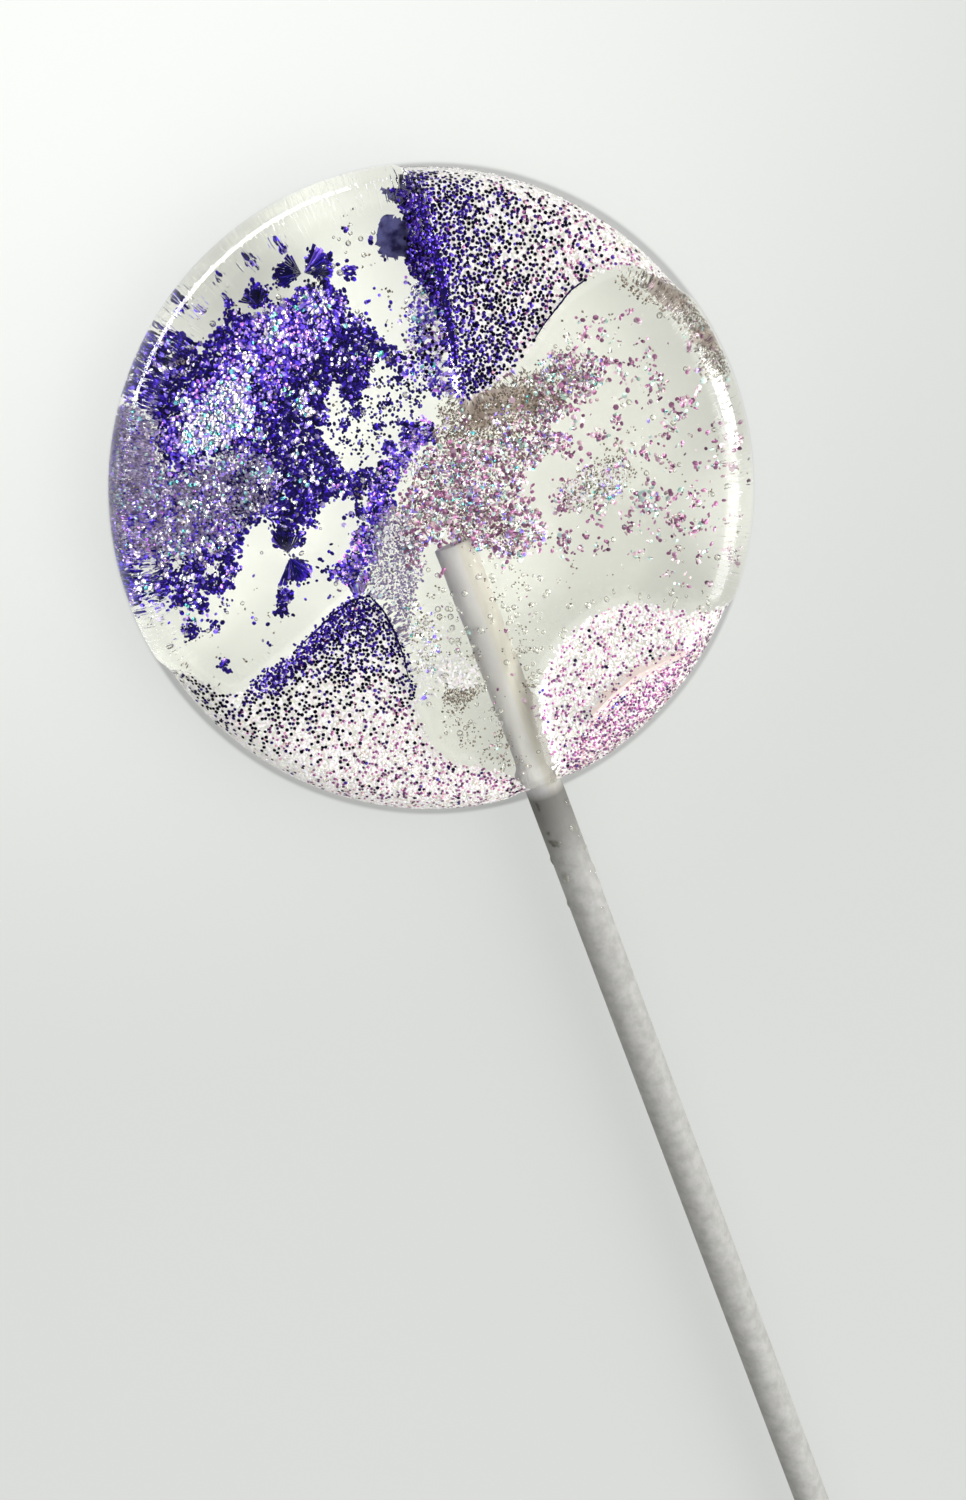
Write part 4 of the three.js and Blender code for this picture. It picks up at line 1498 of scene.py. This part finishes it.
def make_films(sugar):
    """Films of violet sugar with dark lines along the petals' creases, mauve haze and brown smoke."""
    draws = np.random.default_rng(FILM_SEED)
    for kind, (level, outlines) in FILMS.items():
        parts = [plate_parts(points, level, draws) for points in outlines]
        if kind == "violet":
            parts += [strip_parts(sugar, widths, points, draws) for *widths, points in CREASE_SHADE_LINES]
        dark, pale = (getattr(sugar, f"{kind}_{tone_name}") for tone_name in ("dark", "pale"))
        thin_piece(f"{kind}_films", parts, film_material(f"{kind.capitalize()} film", dark, pale))


def make_fold(sugar):
    """The pale crest of the fold in the lower right petal."""
    material, tree, shader = new_material("Fold crest")
    set_inputs(tree, shader, {"Base Color": sugar.fold_colour, "Roughness": FOLD_ROUGHNESS})
    parts = [strip_parts(sugar, FOLD_WIDTHS, FOLD_LINE, np.random.default_rng(FILM_SEED))]
    thin_piece("fold_crest", parts, material)


def ball_values(width, per_mm2, depth, seed, material):
    """The scatter tree's inputs for balls that lie apart."""
    return {
        "Per Area": per_mm2 / MM**2,
        "Gap": width,
        "Clumping": 0.3,
        "Clump Size": 3 * MM,
        "Width": width,
        "Spread": 0.6,
        "Narrow": 1.0,
        "Depth": depth,
        "Seed": seed,
        "Material": material,
    }


def joined(name, *meshes):
    """One mesh of several, which are used up, with the first one's materials."""
    work = bmesh.new()
    for mesh in meshes:
        work.from_mesh(mesh)
    whole = bpy.data.meshes.new(name)
    for material in meshes[0].materials:
        whole.materials.append(material)
    work.to_mesh(whole)
    work.free()
    for mesh in meshes:
        bpy.data.meshes.remove(mesh)
    return whole


def make_sugar_disc(sugar):
    """The clear disc, with air bubbles as hollows in it."""
    material = sugar_material(sugar)
    disc = new_mesh("poured_disc", *poured_disc(sugar))
    disc.materials.append(material)
    values = ball_values(sugar.bubble_width, sugar.bubbles_per_mm2, BUBBLE_DEPTH, BUBBLE_SEED, material)
    sheet = level_sheet("air_bubbles", BUBBLE_LEVEL)
    bubbles = scatter("air_bubbles", sheet, scatter_tree("Scatter bubbles", hollow_shape), values)
    piece = new_piece("clear_sugar_disc", joined("clear_sugar_disc", disc, bubbles))
    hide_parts("sugar_disc")


def stick_rings(stick):
    """Places along the stick from its top end to its foot, ring by ring, and how many rings there are."""
    turns = np.linspace(0, 1, STICK_SIDES, endpoint=False)
    angles = math.pi / 2 - stick.seam_turn + math.tau * turns
    across = np.stack([np.cos(angles), np.zeros(STICK_SIDES), np.sin(angles)], axis=1)
    outer = STICK_RADIUS - stick.seam_step * turns
    rings = []

    def add_ring(radius, along):
        ring = across * np.reshape(radius, (-1, 1))
        ring[:, 1] += along
        ring[:, 2] += STICK_HEIGHT
        rings.append(ring)

    def end_depth(share):
        spiral = (share * outer / stick.paper_turn - turns) % 1.0
        return stick.end_groove * np.abs(2 * spiral - 1)

    shares = [(i + 0.5) / STICK_END_RINGS for i in range(STICK_END_RINGS)]
    for share in shares:
        add_ring(outer * share, STICK_TOP - end_depth(share))
    lengths = int((STICK_TOP - STICK_FOOT) / STICK_RING_STEP)
    for i in range(lengths + 1):
        down = (STICK_TOP - STICK_FOOT - 2 * stick.end_groove) * i / lengths
        add_ring(outer, STICK_TOP - stick.end_groove - down)
    for share in reversed(shares):
        add_ring(outer * share, STICK_FOOT + end_depth(share))
    return np.concatenate(rings), len(rings)


def make_paper_stick(stick):
    """The rolled stick, with the free edge of its paper and the spiral of its ends."""
    places, count = stick_rings(stick)
    faces = [(a, d, c, b) for a, b, c, d in ring_faces(count, STICK_SIDES)]
    last = (count - 1) * STICK_SIDES
    faces.append(tuple(range(STICK_SIDES)))
    faces.append(tuple(reversed(range(last, last + STICK_SIDES))))
    mesh = new_mesh("rolled_paper_stick", places, faces)
    mesh.materials.append(paper_material(stick))
    piece = new_piece("rolled_paper_stick", mesh)
    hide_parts("paper_stick")


def make_sugar_beads(sugar):
    """Small beads of sugar that ran down the stick below the rim."""
    rows, columns = BEAD_SHEET_STEPS
    grid = np.meshgrid(np.linspace(0, 1, rows), np.linspace(0, math.pi, columns), indexing="ij")
    along, angle = (part.ravel() for part in grid)
    places = np.stack([
        STICK_RADIUS * np.cos(angle),
        -DISC_RADIUS - sugar.bead_reach * along,
        STICK_HEIGHT + STICK_RADIUS * np.sin(angle),
    ], axis=1)
    sheet = drift_sheet("sugar_beads", places, grid_faces(rows, columns), 1 - along * BEADS_LOST)
    material = bpy.data.materials["Clear sugar"]
    values = ball_values(sugar.bead_width, sugar.beads_per_mm2, BEAD_DEPTH, BEAD_SEED, material)
    beads = scatter("sugar_beads", sheet, scatter_tree("Scatter beads", bead_shape), values)
    new_piece("sugar_beads", beads)


# The stage.


def soft_lamp(name, power, place, size):
    """A rectangular lamp that faces the lollipop and lights only what shines or lets light through."""
    lamp = bpy.data.lights.new(name, "AREA")
    lamp.shape = "RECTANGLE"
    lamp.size, lamp.size_y = size
    lamp.energy = power
    holder = bpy.data.objects.new(name, lamp)
    holder.location = place
    holder.rotation_euler = (-Vector(place)).to_track_quat("-Z", "Y").to_euler()
    holder.visible_diffuse = False
    bpy.context.scene.collection.objects.link(holder)


def make_sky(stage):
    """Soft light from all round: a bright ring at middle height, dimmer on the left, behind a backdrop."""
    world = bpy.data.worlds.new("Soft sky")
    world.use_nodes = True
    tree = world.node_tree
    tree.nodes.clear()
    place = add_node(tree, "ShaderNodeTexCoord").outputs["Generated"]
    up = add_node(tree, "ShaderNodeSeparateXYZ", {0: place}).outputs["Z"]
    side = vector_result(tree, "DOT_PRODUCT", place, LIGHT_SIDE)
    strength = result(tree, "MULTIPLY", ranged(tree, side, *SKY_SIDE, stage.left_sky, 1.0), stage.sky)
    ring = grey_ramp(tree, up, SKY_RING)
    light = add_node(tree, "ShaderNodeBackground", {"Color": ring, "Strength": strength})
    backdrop = add_node(tree, "ShaderNodeBackground", {"Color": stage.backdrop})
    seen = add_node(tree, "ShaderNodeLightPath").outputs["Is Camera Ray"]
    sky = add_node(tree, "ShaderNodeMixShader", {0: seen, 1: light.outputs[0], 2: backdrop.outputs[0]})
    add_node(tree, "ShaderNodeOutputWorld", {"Surface": sky.outputs[0]})
    bpy.context.scene.world = world


def make_camera(stage):
    """The camera, which looks down on the lollipop with the stick running to the lower right."""
    camera = bpy.data.cameras.new("Camera")
    camera.lens = stage.camera_lens
    camera.sensor_width = SENSOR_WIDTH
    camera.clip_start = NEAREST_SEEN
    holder = bpy.data.objects.new("Camera", camera)
    place = Vector(stage.camera_place)
    back = (place - Vector(stage.camera_aim)).normalized()
    up = Vector((math.sin(stage.camera_turn), math.cos(stage.camera_turn), 0))
    right = up.cross(back).normalized()
    axes = Matrix((right, back.cross(right), back)).transposed().to_4x4()
    holder.matrix_world = Matrix.Translation(place) @ axes
    bpy.context.scene.collection.objects.link(holder)
    bpy.context.scene.camera = holder


def make_stage(stage):
    """The floor, the lights and the camera."""
    half = stage.floor_size / 2
    corners = np.array([(-half, -half), (half, -half), (half, half), (-half, half)])
    places = np.column_stack([corners, np.full(4, -stage.floor_gap)])
    mesh = new_mesh("floor", places, [(0, 1, 2, 3)], smooth=False)
    mesh.materials.append(floor_material(stage))
    floor = bpy.data.objects.new("floor", mesh)
    bpy.context.scene.collection.objects.link(floor)
    for name, (power, place, size) in LAMPS.items():
        soft_lamp(name, getattr(stage, power), place, size)
    make_sky(stage)
    make_camera(stage)
    bpy.context.scene.view_settings.view_transform = "Standard"
    bpy.context.scene.cycles.blur_glossy = 0.0


# Operators, panel and registration.


class LOLLIPOP_OT_sugar_disc(bpy.types.Operator):
    """Make the clear sugar disc with its petals, creases and air bubbles"""

    bl_idname = "lollipop.sugar_disc"
    bl_label = "Sugar Disc"

    def execute(self, context):
        make_sugar_disc(context.scene.lollipop.sugar)
        return {"FINISHED"}


class LOLLIPOP_OT_paper_stick(bpy.types.Operator):
    """Make the rolled paper stick"""

    bl_idname = "lollipop.paper_stick"
    bl_label = "Paper Stick"

    def execute(self, context):
        make_paper_stick(context.scene.lollipop.stick)
        return {"FINISHED"}


class LOLLIPOP_OT_sugar_beads(bpy.types.Operator):
    """Make the beads of sugar on the stick"""

    bl_idname = "lollipop.sugar_beads"
    bl_label = "Sugar Beads"

    def execute(self, context):
        make_sugar_beads(context.scene.lollipop.sugar)
        return {"FINISHED"}


class LOLLIPOP_OT_deep_glitter(bpy.types.Operator):
    """Make the glitter that drifted deep in the sugar, one piece for each kind"""

    bl_idname = "lollipop.deep_glitter"
    bl_label = "Deep Glitter"

    def execute(self, context):
        settings = context.scene.lollipop
        for kind in DEEP_GLITTER:
            flakes = getattr(settings, kind)
            make_glitter(kind, flakes, level_sheet(kind, flakes.level))
        make_fans()
        make_films(settings.sugar)
        return {"FINISHED"}


class LOLLIPOP_OT_petal_glitter(bpy.types.Operator):
    """Make the glitter that lines the petals, one piece for each kind"""

    bl_idname = "lollipop.petal_glitter"
    bl_label = "Petal Glitter"

    def execute(self, context):
        settings = context.scene.lollipop
        for kind in PETAL_GLITTER:
            flakes = getattr(settings, kind)
            fade = PETAL_FADE if kind == "petal_dust" else DOT_FADE
            make_glitter(kind, flakes, petal_sheet(kind, settings.sugar, flakes.level, fade))
        make_fold(settings.sugar)
        return {"FINISHED"}


class LOLLIPOP_OT_stage(bpy.types.Operator):
    """Make the floor, the lights and the camera"""

    bl_idname = "lollipop.stage"
    bl_label = "Stage"

    def execute(self, context):
        make_stage(context.scene.lollipop.stage)
        return {"FINISHED"}


OPERATORS = (
    LOLLIPOP_OT_sugar_disc,
    LOLLIPOP_OT_paper_stick,
    LOLLIPOP_OT_sugar_beads,
    LOLLIPOP_OT_deep_glitter,
    LOLLIPOP_OT_petal_glitter,
    LOLLIPOP_OT_stage,
)


class LOLLIPOP_PT_panel(bpy.types.Panel):
    """Lists the operators that make the lollipop"""

    bl_idname = "LOLLIPOP_PT_panel"
    bl_label = "Lollipop"
    bl_space_type = "VIEW_3D"
    bl_region_type = "UI"
    bl_category = "Lollipop"

    def draw(self, context):
        for operator in OPERATORS:
            self.layout.operator(operator.bl_idname)


CLASSES = (*SETTINGS.values(), LollipopSettings, *OPERATORS, LOLLIPOP_PT_panel)


def register():
    """Registers the classes and hangs the settings on the scene."""
    for item in CLASSES:
        bpy.utils.register_class(item)
    bpy.types.Scene.lollipop = PointerProperty(type=LollipopSettings)


def unregister():
    """Takes the settings and the classes away again."""
    del bpy.types.Scene.lollipop
    for item in reversed(CLASSES):
        bpy.utils.unregister_class(item)


def main():
    """Makes every piece and the stage, and writes how large the part came out."""
    register()
    bpy.ops.lollipop.sugar_disc()
    bpy.ops.lollipop.paper_stick()
    bpy.ops.lollipop.sugar_beads()
    bpy.ops.lollipop.deep_glitter()
    bpy.ops.lollipop.petal_glitter()
    bpy.ops.lollipop.stage()


if __name__ == "__main__":
    main()
